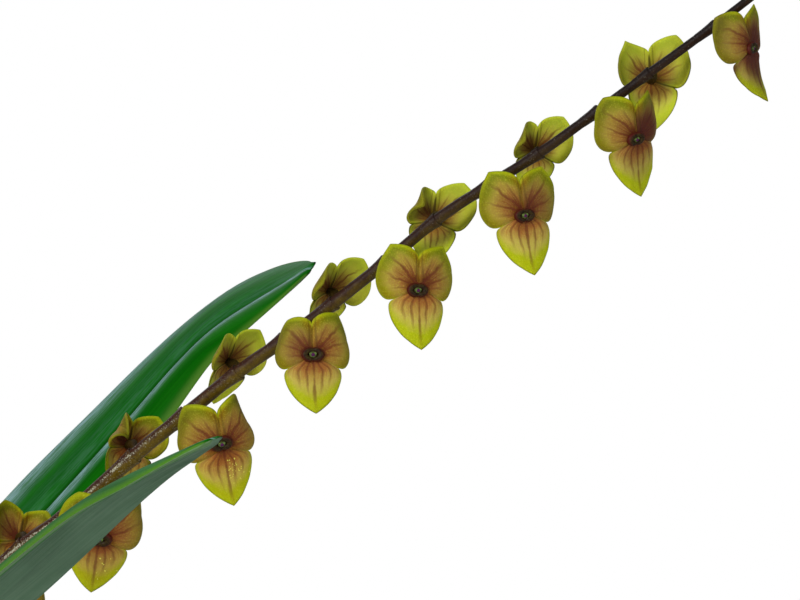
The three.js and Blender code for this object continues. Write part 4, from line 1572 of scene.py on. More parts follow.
@dataclass(frozen=True)
class SepalForm:
    """A flower's shape, by angle round it from the tip of its lower sepal, below 0 on its left.

    reach stretches the left, right and lower lobes. fold adds backward curl to the left and
    right lobes, and to the lower lobe's right flank. tips are the lengths of the points of the
    left and right lobes.
    """

    reach: Triple = (1.0, 1.0, 1.0)
    fold: tuple[float, ...] = (0.0, 0.0)
    tips: tuple[float, float] = (0.0, 0.0)
    sinus_angle: float = 65.0
    apex_angle: float = 148.0
    seam_angle: float = 180.0
    sinus_radius: float = 3.7
    lower_apex_radius: float = 9.7
    upper_apex_radius: float = 8.3
    seam_radius: float = 5.1
    tip_spread: float = 7.0
    flat_radius: float = 2.0
    curl_power: float = 1.15
    # Angle round the flower, and curl per millimetre there.
    curls: tuple[tuple[float, float], ...] = (
        (0, -0.03), (12, -0.02), (30, 0.03), (50, 0.15), (65, 0.25), (82, 0.22), (97, 0.2),
        (115, 0.18), (130, 0.14), (148, 0.085), (165, 0.04), (180, 0.01))
    valley_depth: float = 0.5
    valley_spread: float = 9.0
    thickness: float = 0.6
    throat_radius: float = 0.25

    def outline(self, angle: Array) -> Array:
        """The flat outline.

        Args:
            angle: angles round the flower, in degrees.

        Returns:
            How far the outline lies from the middle at each angle.
        """
        a = np.abs(angle)
        left, right, lower = self.reach
        u = np.clip(a / self.sinus_angle, 0, 1)
        low = self.sinus_radius + (self.lower_apex_radius - self.sinus_radius) * lower * (
            1 - 1.22 * u + 0.6 * u * u) * np.sqrt(np.clip(1 - u ** 10, 0, 1))
        stretch = np.where(np.asarray(angle) < 0, left, right)
        apex = self.sinus_radius + (self.upper_apex_radius - self.sinus_radius) * stretch
        v = np.clip((self.apex_angle - a) / (self.apex_angle - self.sinus_angle), 0, 1)
        outer = self.sinus_radius + (apex - self.sinus_radius) * (
            1 - 0.14 * v) * np.sqrt(np.clip(1 - v ** 5, 0, 1))
        w = np.clip((a - self.apex_angle) / (self.seam_angle - self.apex_angle), 0, 1)
        inner = self.seam_radius + (apex - self.seam_radius) * (
            1 - 0.8 * w) * np.sqrt(np.clip(1 - w ** 8, 0, 1))
        point = np.where(np.asarray(angle) < 0, *self.tips) * np.exp(
            -np.abs(a - self.apex_angle) / self.tip_spread)
        upper = np.where(a < self.apex_angle, outer, inner) + point
        return np.where(a < self.sinus_angle, low, upper)

    def curl(self, angle: Array) -> Array:
        """How the sepals curl back.

        Args:
            angle: angles round the flower, in degrees.

        Returns:
            The curl per millimetre at each angle.
        """
        a = np.abs(angle)
        left, right, flank = (*self.fold, 0.0)[:3]
        usual = np.interp(a, *np.array(self.curls).T)
        lobe = np.where(angle < 0, left, right) * bump(a, 122, 34)
        return usual + lobe + np.where(angle < 0, 0.0, flank) * bump(a, 42, 16)

    def surface(self, radius: Array, angle: Array) -> Array:
        """The middle surface: each radial line runs out flat, then bends back.

        Args:
            radius: distances from the middle along the surface.
            angle: angles round the flower, of the same shape.

        Returns:
            Its points.
        """
        steps = 12
        a = np.abs(angle)
        curl = self.curl(angle)
        beyond = np.maximum(0, radius - self.flat_radius)
        out, deep = np.minimum(radius, self.flat_radius), np.zeros_like(radius)
        for k in range(steps):
            bend = curl * (beyond * (k + 0.5) / steps) ** self.curl_power
            out = out + np.cos(bend) * beyond / steps
            deep = deep - np.sin(bend) * beyond / steps
        fade = np.minimum(1, radius / 3)
        for valley in (self.seam_angle, self.sinus_angle):
            deep = deep - self.valley_depth * fade * bump(a, valley, self.valley_spread)
        turn = np.radians(angle)
        return np.stack([out * np.sin(turn), -out * np.cos(turn), deep], axis=-1)

    def normal(self, radius: Array, angle: Array) -> Array:
        """The way that the middle surface faces.

        Args:
            radius: distances from the middle along the surface.
            angle: angles round the flower, of the same shape.

        Returns:
            A unit vector for each point.
        """
        small, turn = 0.05, 0.7
        outward = self.surface(radius + small, angle) - self.surface(radius - small, angle)
        around = self.surface(radius, angle + turn) - self.surface(radius, angle - turn)
        return unit(np.cross(outward, around))

    def meridian(self, radius: Array, angle: Array) -> tuple[Array, Array, Array]:
        """The lines that veins follow, from a lobe's foot towards its tip.

        Args:
            radius: distances from the middle along the surface.
            angle: angles round the flower, of the same shape.

        Returns:
            The line through each point, from 0 on the lower sepal's middle over 1 at the sinus
            and 2 on an upper lobe's middle to 3 at the seam, the width of one such step, and the
            share of the way out.
        """
        a, sinus, apex = np.abs(angle), self.sinus_angle, self.apex_angle
        turns = np.linspace(0, sinus - 0.5, 120)
        reach = self.outline(turns)
        across, ahead = reach * np.sin(np.radians(turns)), reach * np.cos(np.radians(turns))
        order = np.argsort(ahead)
        x, y = radius * np.sin(np.radians(a)), radius * np.cos(np.radians(a))
        wide = np.interp(y, ahead[order], across[order])
        fan = np.maximum(y, 0) * math.tan(math.radians(sinus - 0.5))
        wide = np.maximum(np.where(y < ahead.min(), fan, wide), 0.15)
        outer = 1 + (a - sinus) / (apex - sinus)
        inner = 2 + (a - apex) / (self.seam_angle - apex)
        line = np.where(a <= sinus, np.minimum(x / wide, 1.0), np.where(a <= apex, outer, inner))
        degrees = np.where(a <= apex, apex - sinus, self.seam_angle - apex)
        share = np.where(a <= sinus, y / self.outline(np.array(0.0)) + 0.28 * line ** 2,
                         radius / self.outline(angle))
        return line, np.where(a <= sinus, wide, radius * np.radians(degrees)), share


@dataclass(frozen=True)
class Flower:
    """One flower: where it sits on the raceme and how it is turned.

    yaw, pitch and roll turn it from facing along -Y. flush_and_shade is how purple its left, right
    and lower lobes are stained, partly as painted shade. heart_place shifts its button to the right and
    up. pollen counts the grains.
    """

    number: int
    node: Triple
    offset: Triple
    yaw: float
    pitch: float
    roll: float
    size: float
    reach: Triple
    fold: tuple[float, ...]
    flush_and_shade: Triple = (0.15, 0.3, 0.1)
    tips: tuple[float, float] = (0.0, 0.0)
    heart_place: tuple[float, float] = (0.0, 0.0)
    pollen: int = 0

    ANGLES = 208
    BANDS = 20
    # How many more angles, round which angle, and how far from it.
    CROWDED = ((3.5, 65, 4), (2.5, 180, 5), (1.2, 0, 6), (1.0, 148, 6))
    RIPPLE = 0.12
    MARGIN = 0.5
    RING_SIDES = 48
    TUBE_SIDES = 14
    BLACK, COLUMN, BRIGHT = (0.0, 0.0, 0.0), (0.8, 0.0, 0.0), (0.9, 0.0, 0.0)
    # Each lump's middle, its half width, height and depth, and its paint.
    KNOBS = (
        ((0.0, 0.02, 0.1), (0.78, 0.55, 0.6), BLACK),
        ((0.0, -0.02, 0.6), (0.56, 0.46, 0.4), COLUMN),
        ((-0.3, 0.12, 0.8), (0.28, 0.26, 0.22), BRIGHT),
        ((0.3, 0.12, 0.8), (0.28, 0.26, 0.22), BRIGHT),
        ((0.0, -0.02, 0.9), (0.32, 0.28, 0.2), (0.0, 1.0, 0.0)),
        ((0.0, 0.42, 0.62), (0.4, 0.16, 0.3), (0.2, 0.0, 0.0)))

    @property
    def form(self) -> SepalForm:
        """The shape of its sepals."""
        return SepalForm(self.reach, self.fold, self.tips)

    @property
    def centre(self) -> Array:
        """The middle of the sepals."""
        return np.array(self.node) + np.array(self.offset)

    def axes(self) -> tuple[Array, Array, Array]:
        """The flower's own directions.

        Returns:
            Its right, its top and the way that it faces.
        """
        y, p, r = np.radians([self.yaw, self.pitch, self.roll])
        facing = np.array([math.sin(y) * math.cos(p), -math.cos(y) * math.cos(p), math.sin(p)])
        level = np.array([math.cos(y), math.sin(y), 0.0])
        upright = np.cross(facing, level)
        right = level * math.cos(r) + upright * math.sin(r)
        top = upright * math.cos(r) - level * math.sin(r)
        return right, top, facing

    def placed(self, local: Array) -> Array:
        """Local points as they lie in the frame."""
        return self.centre + (local * self.size) @ np.array(self.axes())

    def angles(self) -> Array:
        """Angles round the flower, closer together at the seam, the sinuses and the tips.

        Returns:
            Degrees, from 0 up to 180 and on from below 0.
        """
        fine = np.linspace(0, 180, 2001)
        crowd = sum((more * bump(fine, at, spread) for more, at, spread in self.CROWDED), 1)
        total = np.concatenate([[0], np.cumsum(crowd[1:])])
        half = np.interp(np.linspace(0, total[-1], self.ANGLES // 2 + 1), total, fine)
        return np.concatenate([half, -half[-2:0:-1]])

    def build(self) -> bpy.types.Object:
        """The three joined sepals, rounded at their margins and creased at their seams.

        Returns:
            The sepals.
        """
        form, rng = self.form, np.random.default_rng(500 + self.number)
        angle = self.angles()
        reach = form.outline(angle)
        shares = 1 - (1 - np.linspace(0, 1, self.BANDS)) ** 1.25
        radius = form.throat_radius + np.outer(shares, reach - form.throat_radius)
        turn = np.broadcast_to(angle, radius.shape)
        middle = form.surface(radius, turn)
        normal = form.normal(radius, turn)
        edge = reach - radius
        waves, phase = rng.integers(3, 7, 3), rng.uniform(0, 6.28, 3)
        ripple = sum(np.sin(np.radians(turn) * w + p) for w, p in zip(waves, phase))
        middle[..., 2] += self.RIPPLE * ripple * (radius / 8) ** 3
        line, span, share = form.meridian(radius, turn)
        inward = np.minimum(edge, self.MARGIN) / self.MARGIN
        half = form.thickness / 2 * np.sqrt(np.clip(1 - (1 - inward) ** 2, 0, 1))
        half = half * (1 - 0.35 * smooth(3, 9, radius))
        front = middle + normal * half[..., None]
        back = middle - normal * half[..., None]
        a = np.abs(turn)
        # Painted shade: more purple where the sepals curl back from the flower's face, towards the
        # margin.
        turned = smooth(0.9, 0.35, normal[..., 2]) * smooth(0.45, 0.95, radius / reach)
        lower = smooth(form.sinus_angle + 4, form.sinus_angle - 4, a)
        # Each lobe's listed purple flush, partly painted shade.
        amount = np.where(turn > 0, self.flush_and_shade[1], self.flush_and_shade[0]) * (1 - lower) + self.flush_and_shade[2] * lower
        flush_and_shade = np.clip(amount * (1 - 0.8 * smooth(0.4, 1.0, radius / reach))
                        + turned * (0.25 + 0.6 * amount), 0, 0.92)
        warmth = float(np.clip(0.75 - self.number / 18 + rng.uniform(-0.1, 0.1), 0, 1))
        sheets = []
        for sheet, hand in ((front, 1.0), (back[::-1], -1.0)):
            order = slice(None, None, int(hand))
            paint = np.stack([line, span * hand, share], axis=-1)[order]
            tint = np.stack([edge, flush_and_shade, np.full_like(edge, warmth)], axis=-1)[order]
            sheets.append((self.placed(sheet), paint, tint))
        grids = [np.vstack([sheets[0][k], sheets[1][k]]) for k in range(3)]
        draft = Draft(f"sepals_{self.number:02d}")
        draft.grid(*grids, loop=True)
        return draft.build(SepalFinish(), "sepal", [f"flower_{self.number:02d}"])

    def heart(self, draft: Draft) -> None:
        """Adds the button: two thick petals in a ring, the lip and the column.

        Args:
            draft: the mesh that it joins.
        """
        phi, tube = around(self.RING_SIDES, 0.0), around(self.TUBE_SIDES, 0.0)
        degrees = np.degrees(phi)
        thick = 0.47 + 0.08 * np.cos(phi) ** 2
        thick = thick * (1 - 0.5 * bump(degrees, 270, 13)) * (1 - 0.3 * bump(degrees, 90, 16))
        one = np.ones_like(phi)
        spine = np.stack([1.24 * np.cos(phi), 0.76 * np.sin(phi) + 0.03, 0.52 * one], axis=-1)
        outward = np.stack([np.cos(phi), np.sin(phi), 0.0 * one], axis=-1)
        rows = (spine[:, None] + outward[:, None] * (thick[:, None] * np.cos(tube))[..., None]
                + np.array([0, 0, 1.0]) * (1.05 * thick[:, None] * np.sin(tube))[..., None])
        paint = np.zeros(rows.shape)
        paint[..., 2] = 0.85 * smooth(0.2, 1.0, np.cos(tube))[None]
        draft.grid(self.placed(rows + np.array([*self.heart_place, 0.0])), paint, loop=True)
        for middle, radii, colour in self.KNOBS:
            self.knob(draft, np.array(middle), radii, np.array(colour))

    def dust(self, draft: Draft) -> None:
        """Adds the spilt pollen that lies on the lower sepal.

        Args:
            draft: the mesh that it joins.
        """
        rng, form = np.random.default_rng(900 + self.number), self.form
        for _ in range(self.pollen):
            radius, angle = np.array([rng.uniform(1.9, 6.4)]), np.array([rng.uniform(3, 36)])
            spot = form.surface(radius, angle)[0] + form.normal(radius, angle)[0] * form.thickness / 2
            size = rng.uniform(0.05, 0.13)
            self.knob(draft, spot - [*self.heart_place, 0.0], (size, size, size), np.zeros(3), 4, 6)

    def knob(self, draft: Draft, middle: Array, radii: Triple,
             paint: Array, levels: int = 10, sides: int = 16) -> None:
        """Adds a rounded lump, in the flower's own directions.

        Args:
            draft: the mesh that it joins.
            middle: its middle, from the flower's.
            radii: half its width, height and depth.
            paint: its paint.
            levels: how many rings it has.
            sides: how many points each ring has.
        """
        heights = np.linspace(-0.97, 0.97, levels)
        rows = []
        for h in heights:
            girth = math.sqrt(1 - h * h)
            flat = ring(np.zeros(3), np.array([radii[0] * girth, 0, 0]),
                        np.array([0, radii[1] * girth, 0]), 1.0, sides)
            rows.append(middle + flat + np.array([0, 0, radii[2] * h]))
        draft.grid(self.placed(np.array(rows) + np.array([*self.heart_place, 0.0])), paint)

    def stalklet(self, draft: Draft) -> None:
        """Adds the flower's stalk and its ribbed ovary, from the node to the sepals' back.

        Args:
            draft: the mesh that it joins.
        """
        _, top, facing = self.axes()
        behind = [self.centre - facing * distance * self.size for distance in (3.6, 1.4)]
        node = np.array(self.node)
        curve = Sway(np.array([node, node + (self.centre - node) * 0.3, *behind]))
        sides, rows, tints = 15, [], []
        angle = around(sides)
        for share in np.linspace(0, 1, 14):
            swell = smooth(0.45, 0.8, share)
            radius = (0.42 + 0.38 * swell) * (1 + 0.10 * swell * np.cos(3 * angle))
            s, t = axes_across(curve.along(share), top)
            rows.append(ring(curve.at(share), s, t, radius, sides))
            tints.append(np.broadcast_to([0.35 + 0.45 * swell, 0, 0], (sides, 3)))
        end = self.placed(np.array([0.0, 0.0, -0.1]))
        rows.append(ring(end, *axes_across(facing, top), 0.8 * self.size, sides))
        tints.append(np.broadcast_to([0.5, 0, 0], (sides, 3)))
        draft.grid(np.array(rows), np.array([0.5, 0.5, 0.0]), np.array(tints))


@dataclass(frozen=True)
class Raceme:
    """The arching stalk with its bracts, its flowers in two ranks and the buds at its tip."""

    shoot: Shoot
    flowers: tuple[Flower, ...]

    STALK = ((84.5, -3.6, 196), (94, -3.4, 207.5))
    BUD_SPACINGS = (10.4, 8.6, 7.6, 6.6, 5.6, 4.7, 3.9, 3.2)
    BUD_RISE = 38.0
    BUD_RISE_STEP = 1.6
    SET_OUT = 1.7
    LIFT = 0.7
    FOOT_RADIUS = 1.45
    TIP_RADIUS = 0.3
    TAPER = 1.1
    BRACT_LENGTH = 0.3
    BRACT_FLARE = 0.38
    BRACT_SLANT = 0.35
    # Share of a bract's length before the node, and share of its flare.
    BRACT_STEPS = ((1.0, 0.0), (0.93, 0.14), (0.7, 0.24), (0.45, 0.42), (0.2, 0.72), (0.06, 0.98))
    PLAIN_STEPS = (0.12, 0.24, 0.36, 0.48, 0.6)
    UNDERSIDE = (0.5, -0.25, -0.85)
    SIDES = 22
    # Distance from the stalk, and radius.
    BUD_OUTLINE = ((0, 0.4), (1.6, 0.5), (2.4, 1.15), (3.9, 1.6), (5.6, 1.2), (6.8, 0.2))
    BUD_LENGTH = 6.8
    BUD_LEANS = ((-0.2, 0.85, 0.25), (0.45, -0.75, -0.35))
    BUD_SIDES = 18
    BUD_RINGS = 22

    def axis(self) -> Thread:
        """The stalk's middle line, with one point for each node.

        Returns:
            The curve.
        """
        stem = self.shoot.stem_curve()
        along = stem.along(1.0)
        face = self.shoot.leaf_axes(along, 0.0)[1]
        foot = stem.at(1.0) + along * self.LIFT + face * self.SET_OUT
        points = [foot, *(np.array(p, float) for p in self.STALK),
                  *(np.array(f.node, float) for f in self.flowers)]
        for k, spacing in enumerate(self.BUD_SPACINGS):
            points.append(points[-1] + direction(0, self.BUD_RISE + k * self.BUD_RISE_STEP) * spacing)
        return Thread(np.array(points))

    def radius(self, share: float) -> float:
        """The stalk's radius at a share of its length."""
        return self.FOOT_RADIUS + (self.TIP_RADIUS - self.FOOT_RADIUS) * share ** self.TAPER

    def build(self) -> list[bpy.types.Object]:
        """The stalk with its stalklets, the hearts, the pollen, the buds and the sepals.

        Returns:
            The pieces.
        """
        axis = self.axis()
        stalk, hearts = Draft("raceme_stalk"), Draft("flower_hearts")
        buds, pollen = Draft("raceme_buds"), Draft("pollen")
        self.rachis(stalk, axis)
        for flower in self.flowers:
            flower.stalklet(stalk)
            flower.heart(hearts)
            flower.dust(pollen)
        for k in range(len(self.BUD_SPACINGS) - 1):
            self.bud(buds, axis, k)
        made = [stalk.build(StalkFinish(), "raceme_stalk", ["raceme"]),
                hearts.build(HeartFinish(), "raceme_stalk", ["raceme"]),
                pollen.build(PollenFinish(), "sepal", []),
                buds.build(SepalFinish(), "sepal", ["raceme"])]
        return made + [flower.build() for flower in self.flowers]

    def rachis(self, draft: Draft, axis: Thread) -> None:
        """Adds the stalk, stepped at each node by a bract that clasps it.

        Args:
            draft: the mesh that it joins.
            axis: the stalk's middle line.
        """
        last = len(axis.points) - 1
        rng = np.random.default_rng(11)
        bands = [self.band(axis, number)
                 for number in np.arange(0, 1 - self.BRACT_LENGTH, self.PLAIN_STEPS[0])]
        for k in range(1, last):
            rank = -1 if k % 2 else 1
            slant, flare = rank * self.BRACT_SLANT, self.BRACT_FLARE * (1 - 0.4 * k / last)
            turn = rank * math.pi / 2 + rng.uniform(-0.3, 0.3)
            for part, swell in self.BRACT_STEPS:
                bands.append(self.band(axis, k - self.BRACT_LENGTH * part, flare * swell,
                                       slant * (1 - part), 1.0, turn))
            bands.append(self.band(axis, k, flare, slant, 1.0, turn))
            bands.append(self.band(axis, k + 0.008, flare * 0.86, slant, 1.0, turn))
            bands.append(self.band(axis, k - 0.02, flare * 0.3, slant, 0.6, turn))
            bands.append(self.band(axis, k + 0.01, 0.02, slant, 0.2))
            bands += [self.band(axis, k + step) for step in self.PLAIN_STEPS]
        bands.append(self.band(axis, last, -0.1))
        draft.grid(*(np.array(part) for part in zip(*bands)))

    def band(self, axis: Thread, number: float, extra: float = 0.0, slant: float = 0.0,
             bract: float = 0.0, turn: float = 0.0) -> tuple[Array, Array]:
        """One ring round the stalk.

        Args:
            axis: the stalk's middle line.
            number: the ring's place, counted in points of the line.
            extra: what it adds to the stalk's radius.
            slant: how far one side is lifted.
            bract: 1 on a bract.
            turn: the angle where a bract stands off the most.

        Returns:
            The points and their paint.
        """
        angle = around(self.SIDES)
        share = number / (len(axis.points) - 1)
        along = axis.along(share)
        side, top = axes_across(along, np.array([0.0, -1.0, 0.0]))
        ribbed = self.radius(share) * (1 + 0.02 * np.sin(5 * angle + 9 * number)) + extra
        ribbed = ribbed + extra * 0.35 * np.cos(angle - turn)
        facing = np.outer(np.cos(angle), side) + np.outer(np.sin(angle), top)
        under = 0.5 + 0.5 * (facing @ unit(np.array(self.UNDERSIDE)))
        paint = np.stack([np.full(self.SIDES, share), under, np.full(self.SIDES, bract)], axis=-1)
        return ring(axis.at(share), side, top, ribbed, self.SIDES, along, slant), paint

    def bud(self, draft: Draft, axis: Thread, k: int) -> None:
        """Adds a closed, three-ribbed bud, smaller towards the tip.

        Args:
            draft: the mesh that it joins.
            axis: the stalk's middle line.
            k: its number, from 0 for the lowest.
        """
        number = 1 + len(self.STALK) + len(self.flowers) + k
        share = number / (len(axis.points) - 1)
        size = 1 - k / (len(self.BUD_SPACINGS) + 1.5)
        outward = unit(np.array(self.BUD_LEANS[k % 2]) + axis.along(share) * 0.9)
        side, top = axes_across(outward, np.array([0, 0, 1.0]))
        sides, rows, paints = self.BUD_SIDES, [], []
        angle = around(sides)
        for along in np.linspace(0, self.BUD_LENGTH, self.BUD_RINGS):
            girth = np.interp(along, *np.array(self.BUD_OUTLINE).T)
            swell = smooth(1.6, 3.0, along)
            radius = girth * (1 + 0.09 * swell * np.cos(3 * angle))
            rows.append(ring(axis.at(share) + outward * along * size, side, top, radius * size, sides))
            line = 0.5 + 0.5 * np.cos(3 * angle)
            paints.append(np.stack([line, np.full(sides, 1.2 * swell + 0.2),
                                    np.full(sides, 0.35 + 0.5 * along / self.BUD_LENGTH)], axis=-1))
        draft.grid(np.array(rows), np.array(paints), np.array([2.0, 0.0, 0.3]))


@dataclass(frozen=True)
class Roots:
    """A few aerial roots that arch from the tuft over the mix."""

    mix: PottingMix
    count: int = 12
    seed: int = 23

    # Share of a root's reach, and height above the mix.
    SPOTS = ((0.0, 3.0), (0.3, 4.6), (0.62, 2.2), (0.85, 1.6), (1.0, -3.0))
    REACH = 44
    SIDES = 10
    RINGS = 30

    def build(self) -> bpy.types.Object:
        """The roots, each from a stem's foot into the mix.

        Returns:
            The roots, as one piece.
        """
        rng, draft = np.random.default_rng(self.seed), Draft("aerial_roots")
        for k in range(self.count):
            fx, fy = self.mix.feet[k % len(self.mix.feet)]
            turn = math.atan2(fy, fx) + rng.uniform(-0.9, 0.9)
            reach = min(rng.uniform(10, 22), self.REACH - math.hypot(fx, fy))
            away = np.array([math.cos(turn), math.sin(turn)])
            bend = np.array([-away[1], away[0]]) * rng.uniform(-4, 4)
            points = []
            for share, rise in self.SPOTS:
                x, y = np.array([fx, fy]) + away * reach * share + bend * math.sin(3.1 * share)
                points.append([x, y, self.mix.top(x, y) + rise])
            curve, rows, paints = Thread(np.array(points)), [], []
            thick = rng.uniform(0.55, 0.85)
            for share in np.linspace(0, 1, self.RINGS):
                s, t = axes_across(curve.along(share), np.array([0.1, 0.2, 1.0]))
                lumpy = thick * (1 + 0.08 * math.sin(31 * share + k))
                rows.append(ring(curve.at(share), s, t, lumpy, self.SIDES))
                paints.append(np.broadcast_to([share, 0, 0], (self.SIDES, 3)))
            draft.grid(np.array(rows), np.array(paints))
        return draft.build(RootFinish(), "stem_sheath", [])


@dataclass(frozen=True)
class Lamp:
    """A square soft light: its place and aim in metres, its side, its watts and its colour."""

    name: str
    place: Triple
    aim: Triple
    size: float
    power: float
    colour: Colour

    def build(self) -> None:
        """Hangs the light."""
        data = bpy.data.lights.new(self.name, "AREA")
        data.shape, data.size, data.energy, data.color = "SQUARE", self.size, self.power, self.colour
        lamp = bpy.data.objects.new(self.name, data)
        bpy.context.scene.collection.objects.link(lamp)
        lamp.location = self.place
        offset = np.array(self.place) - np.array(self.aim)
        lamp.rotation_euler = (math.atan2(math.hypot(offset[0], offset[1]), offset[2]), 0,
                               math.atan2(offset[0], -offset[1]))


@dataclass(frozen=True)
class Studio:
    """The camera, the soft lights, the pale floor and the white surround."""

    scale_px: float = 6.5
    image_px: tuple[int, int] = (800, 600)
    eye: Triple = (190.0, -450.0, 285.0)
    sensor: float = 36.0
    floor_radius: float = 900.0
    shed: Colour = (0.36, 0.375, 0.39)
    seen: Colour = (1.0, 1.0, 1.0)

    LAMPS = (
        Lamp("key", (-0.4, -0.95, 0.75), (0.15, 0.0, 0.28), 0.55, 11.6, (1.0, 0.98, 0.95)),
        Lamp("fill", (0.95, -0.8, 0.35), (0.19, 0.0, 0.28), 0.7, 3.0, (1.0, 0.98, 0.98)),
        Lamp("back", (-0.25, 0.8, 0.9), (0.17, 0.0, 0.28), 0.6, 2.0, (0.9, 0.97, 1.0)))

    def camera(self) -> None:
        """A level camera that looks along +Y at the raceme."""
        data = bpy.data.cameras.new("camera")
        eye = bpy.data.objects.new("camera", data)
        bpy.context.scene.collection.objects.link(eye)
        eye.location = [c * MM for c in self.eye]
        eye.rotation_euler = (math.pi / 2, 0, 0)
        half = self.image_px[0] / 2 / self.scale_px / abs(self.eye[1])
        data.sensor_width = self.sensor
        data.lens = self.sensor / 2 / half
        data.clip_start = 0.01
        bpy.context.scene.camera = eye

    def world(self) -> None:
        """A white surround for the eye, and a softer grey one for the light that it sheds."""
        world = bpy.data.worlds.new("surround")
        bpy.context.scene.world = world
        world.use_nodes = True
        tree = world.node_tree
        background = tree.nodes["Background"]
        path = tree.nodes.new("ShaderNodeLightPath")
        choice = tree.nodes.new("ShaderNodeMix")
        choice.data_type = "RGBA"
        choice.inputs[6].default_value = (*self.shed, 1)
        choice.inputs[7].default_value = (*self.seen, 1)
        tree.links.new(path.outputs["Is Camera Ray"], choice.inputs[0])
        tree.links.new(choice.outputs[2], background.inputs["Color"])
        bpy.context.scene.view_settings.view_transform = "Standard"

    def floor(self) -> None:
        """The pale floor under the pot."""
        bpy.ops.mesh.primitive_circle_add(vertices=96, radius=self.floor_radius * MM, fill_type="NGON")
        disc = bpy.context.object
        disc.name = "floor"
        disc.data.materials.append(FloorFinish().material())

    def build(self) -> None:
        """Sets up all of it."""
        self.camera()
        self.world()
        self.floor()
        for lamp in self.LAMPS:
            lamp.build()


# The forms of shoots 1 and 2 and of flowers 5 to 18 are rounded results of fits to outlines
# measured in the photo. The other rows were chosen.
SHOOTS = (
    Shoot(1, (12, 1), 0, 109, (58, 47), 152, 22, (50, 51, 54, 49, 46, 28),
          (12, 14, 17, 17, 0, -36), (19, 10), twist=23, widest=0.6, taper=2.3, arch=0.53,
          rib=(-0.26, -0.2)),
    Shoot(2, (15, -12), -12, 92, (64, 47), 142, 23.6, (48.2, 48.7, 48.7, 40, 37, 24),
          (10, 12, 11, 5, -11, -31), (8, -14), twist=-2, widest=0.58, taper=1.6, arch=0.5,
          keel_gap=1.8),
    Shoot(3, (8, 14), 38, 88, (66, 50), 120, 24, (33, 22, 11, -2), (3, 1, -1, -3), (6, 6)),
    Shoot(4, (-2, -17), -80, 96, (72, 60), 130, 23, (49, 43, 36, 28), (1, 3, 5, 7), (-10, -10)),
    Shoot(5, (-14, -8), -135, 92, (70, 56), 126, 24, (47, 39, 30, 20), (1, -2, -5, -7), (8, 8)),
    Shoot(6, (-17, 4), 172, 98, (68, 54), 138, 25, (45, 37, 28, 18), (-2, 0, 4, 6), (-6, -6)),
    Shoot(7, (-8, 16), 118, 102, (72, 62), 134, 24, (53, 47, 39, 31), (3, 5, 7, 8), (12, 12)),
    Shoot(8, (2, 7), 75, 112, (80, 74), 140, 24, (68, 64, 59, 53), (2, 0, -2, -4), (-8, -8)),
    Shoot(9, (-6, -4), 200, 116, (84, 80), 142, 23, (75, 71, 67, 61), (-4, -5, -6, -7), (10, 10)),
    Shoot(10, (5, -25), -40, 62, (60, 48), 96, 20, (34, 25, 16, 7), (-3, -4, -5, -6), (5, 5)),
)

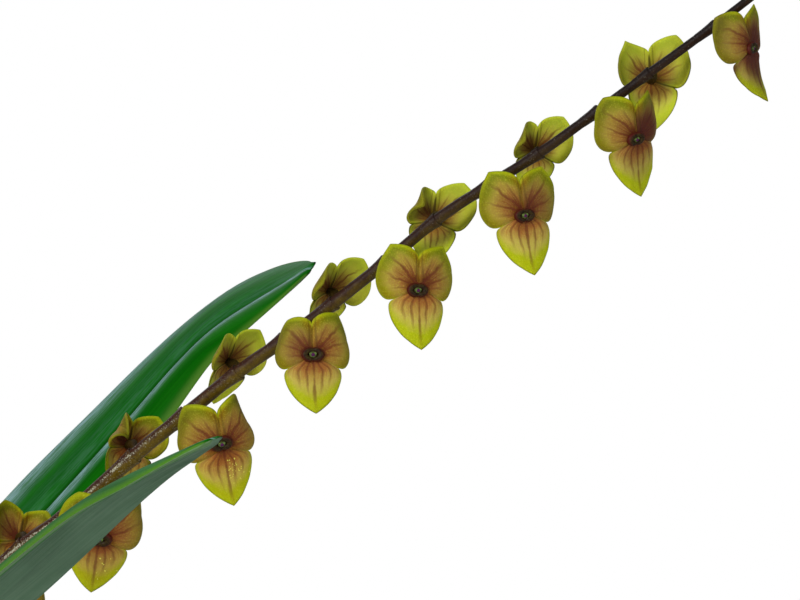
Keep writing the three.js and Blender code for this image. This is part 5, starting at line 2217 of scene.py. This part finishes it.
FLOWERS = (
    Flower(1, (105.2, -1.6, 218.8), (-0.6, 5.6, 0.4), 205, -20, 8, 0.85,
           (1.1, 0.95, 1), (0, 0.06)),
    Flower(2, (111.6, -0.8, 226.5), (5.4, -5.2, -4.2), 8, -4, 4, 1,
           (1, 1.05, 0.95), (0, 0.04)),
    Flower(3, (118.2, -0.3, 233.8), (-0.5, 5.55, 0.3), 198, -22, 4, 0.84,
           (1.15, 0.9, 0.95), (0.02, 0.1)),
    Flower(4, (125, 0, 240.7), (5.6, -5.2, -4), 15, 2, -3, 0.98,
           (0.95, 1, 1), (0.04, 0)),
    Flower(5, (132.3, 0, 247.3), (-1.7, 5.8, 0.2), 204, -29, 17, 0.84,
           (0.95, 1, 1), (0.04, 0)),
    Flower(6, (139.4, 0, 252.4), (4.9, -5.2, -3.5), 3, -20, -9, 1.1,
           (0.75, 1.05, 0.75), (-0.04, 0.04), (0.3, 0.25, 0.4), pollen=8),
    Flower(7, (149.2, 0, 261.1), (-1.6, 5.5, 1), 210, -22, 19, 0.77,
           (1.25, 1.05, 1.3), (-0.1, 0.34)),
    Flower(8, (157.1, 0, 267.5), (6, -5.2, -4.9), 20, -15, 13, 1.03,
           (1.1, 1.1, 0.9), (0.02, 0.1), (0.2, 0.3, 0.1), (0, 0.4), (-0.3, 0.8), pollen=34),
    Flower(9, (165.1, 0, 273.9), (-2, 5.7, 1.5), 223, 17, 5, 0.75,
           (1.3, 0.8, 1), (-0.06, 0.04)),
    Flower(10, (172.2, 0, 278.9), (4.6, -5.2, -2.4), 8, 9, 1, 1,
           (0.8, 1, 0.9), (0.06, 0.02), (0.45, 0.2, 0.15), (0, 0.5), (-0.1, 0.1)),
    Flower(11, (179.9, 0, 284.6), (-1, 5.7, 1.8), 218, 19, 5, 0.78,
           (1.3, 0.8, 0.85), (-0.06, 0.1)),
    Flower(12, (187.9, 0, 290.9), (5, -5.2, -4.1), 18, 3, -2, 0.96,
           (1, 0.9, 1.05), (-0.02, -0.04), (0.1, 0.25, 0.05), (0.4, 0.8), (-0.4, -0.4)),
    Flower(13, (195.7, 0, 297.4), (-0.6, 5.3, -0.1), 189, -21, 9, 0.87,
           (1.2, 0.75, 0.8), (-0.08, 0.32)),
    Flower(14, (203.6, 0, 302.6), (5.3, -5, -4.4), 20, 0, 7, 0.94,
           (1.1, 1, 1.1), (-0.02, -0.06), (0.15, 0.5, 0.1), (0.4, 0.5), (-0.2, -0.4)),
    Flower(15, (211.6, 0, 307.7), (-0.7, 5.2, 0.4), 197, 4, 5, 0.74,
           (1.3, 0.85, 0.9), (-0.06, 0.16)),
    Flower(16, (220.5, 0, 314.1), (5.5, -4.9, -4.4), 37, -16, 14, 0.91,
           (1.25, 1, 1.1), (0.02, 0), (0.2, 0.9, 0.4), (0, 0.5), (-0.6, 0)),
    Flower(17, (228.5, 0, 320), (0.4, 5, -0.9), 188, -17, -1, 0.9,
           (1.25, 0.85, 0.9), (-0.02, -0.02), (0.15, 0.3, 0.1), (0, 0.8)),
    Flower(18, (238.5, 0, 327.3), (4.9, -4.9, -3.8), 55, 2, 17, 0.81,
           (1.3, 0.9, 1.2), (0.06, -0.12, 0.1), (0.4, 0.9, 0.95), (0.4, 0.9), (-0.6, -0.2)),
)


def main() -> None:
    """Builds the plant, its pot and the studio."""
    logging.basicConfig(level=logging.INFO, format="%(name)s: %(message)s")
    Studio().build()
    pot = Pot()
    pot.build()
    mix = PottingMix(pot, tuple(shoot.foot for shoot in SHOOTS))
    mix.bed()
    mix.loose()
    for shoot in SHOOTS:
        shoot.build_stem()
        shoot.build_leaf()
    Roots(mix).build()
    Raceme(SHOOTS[0], FLOWERS).build()


if __name__ == "__main__":
    main()
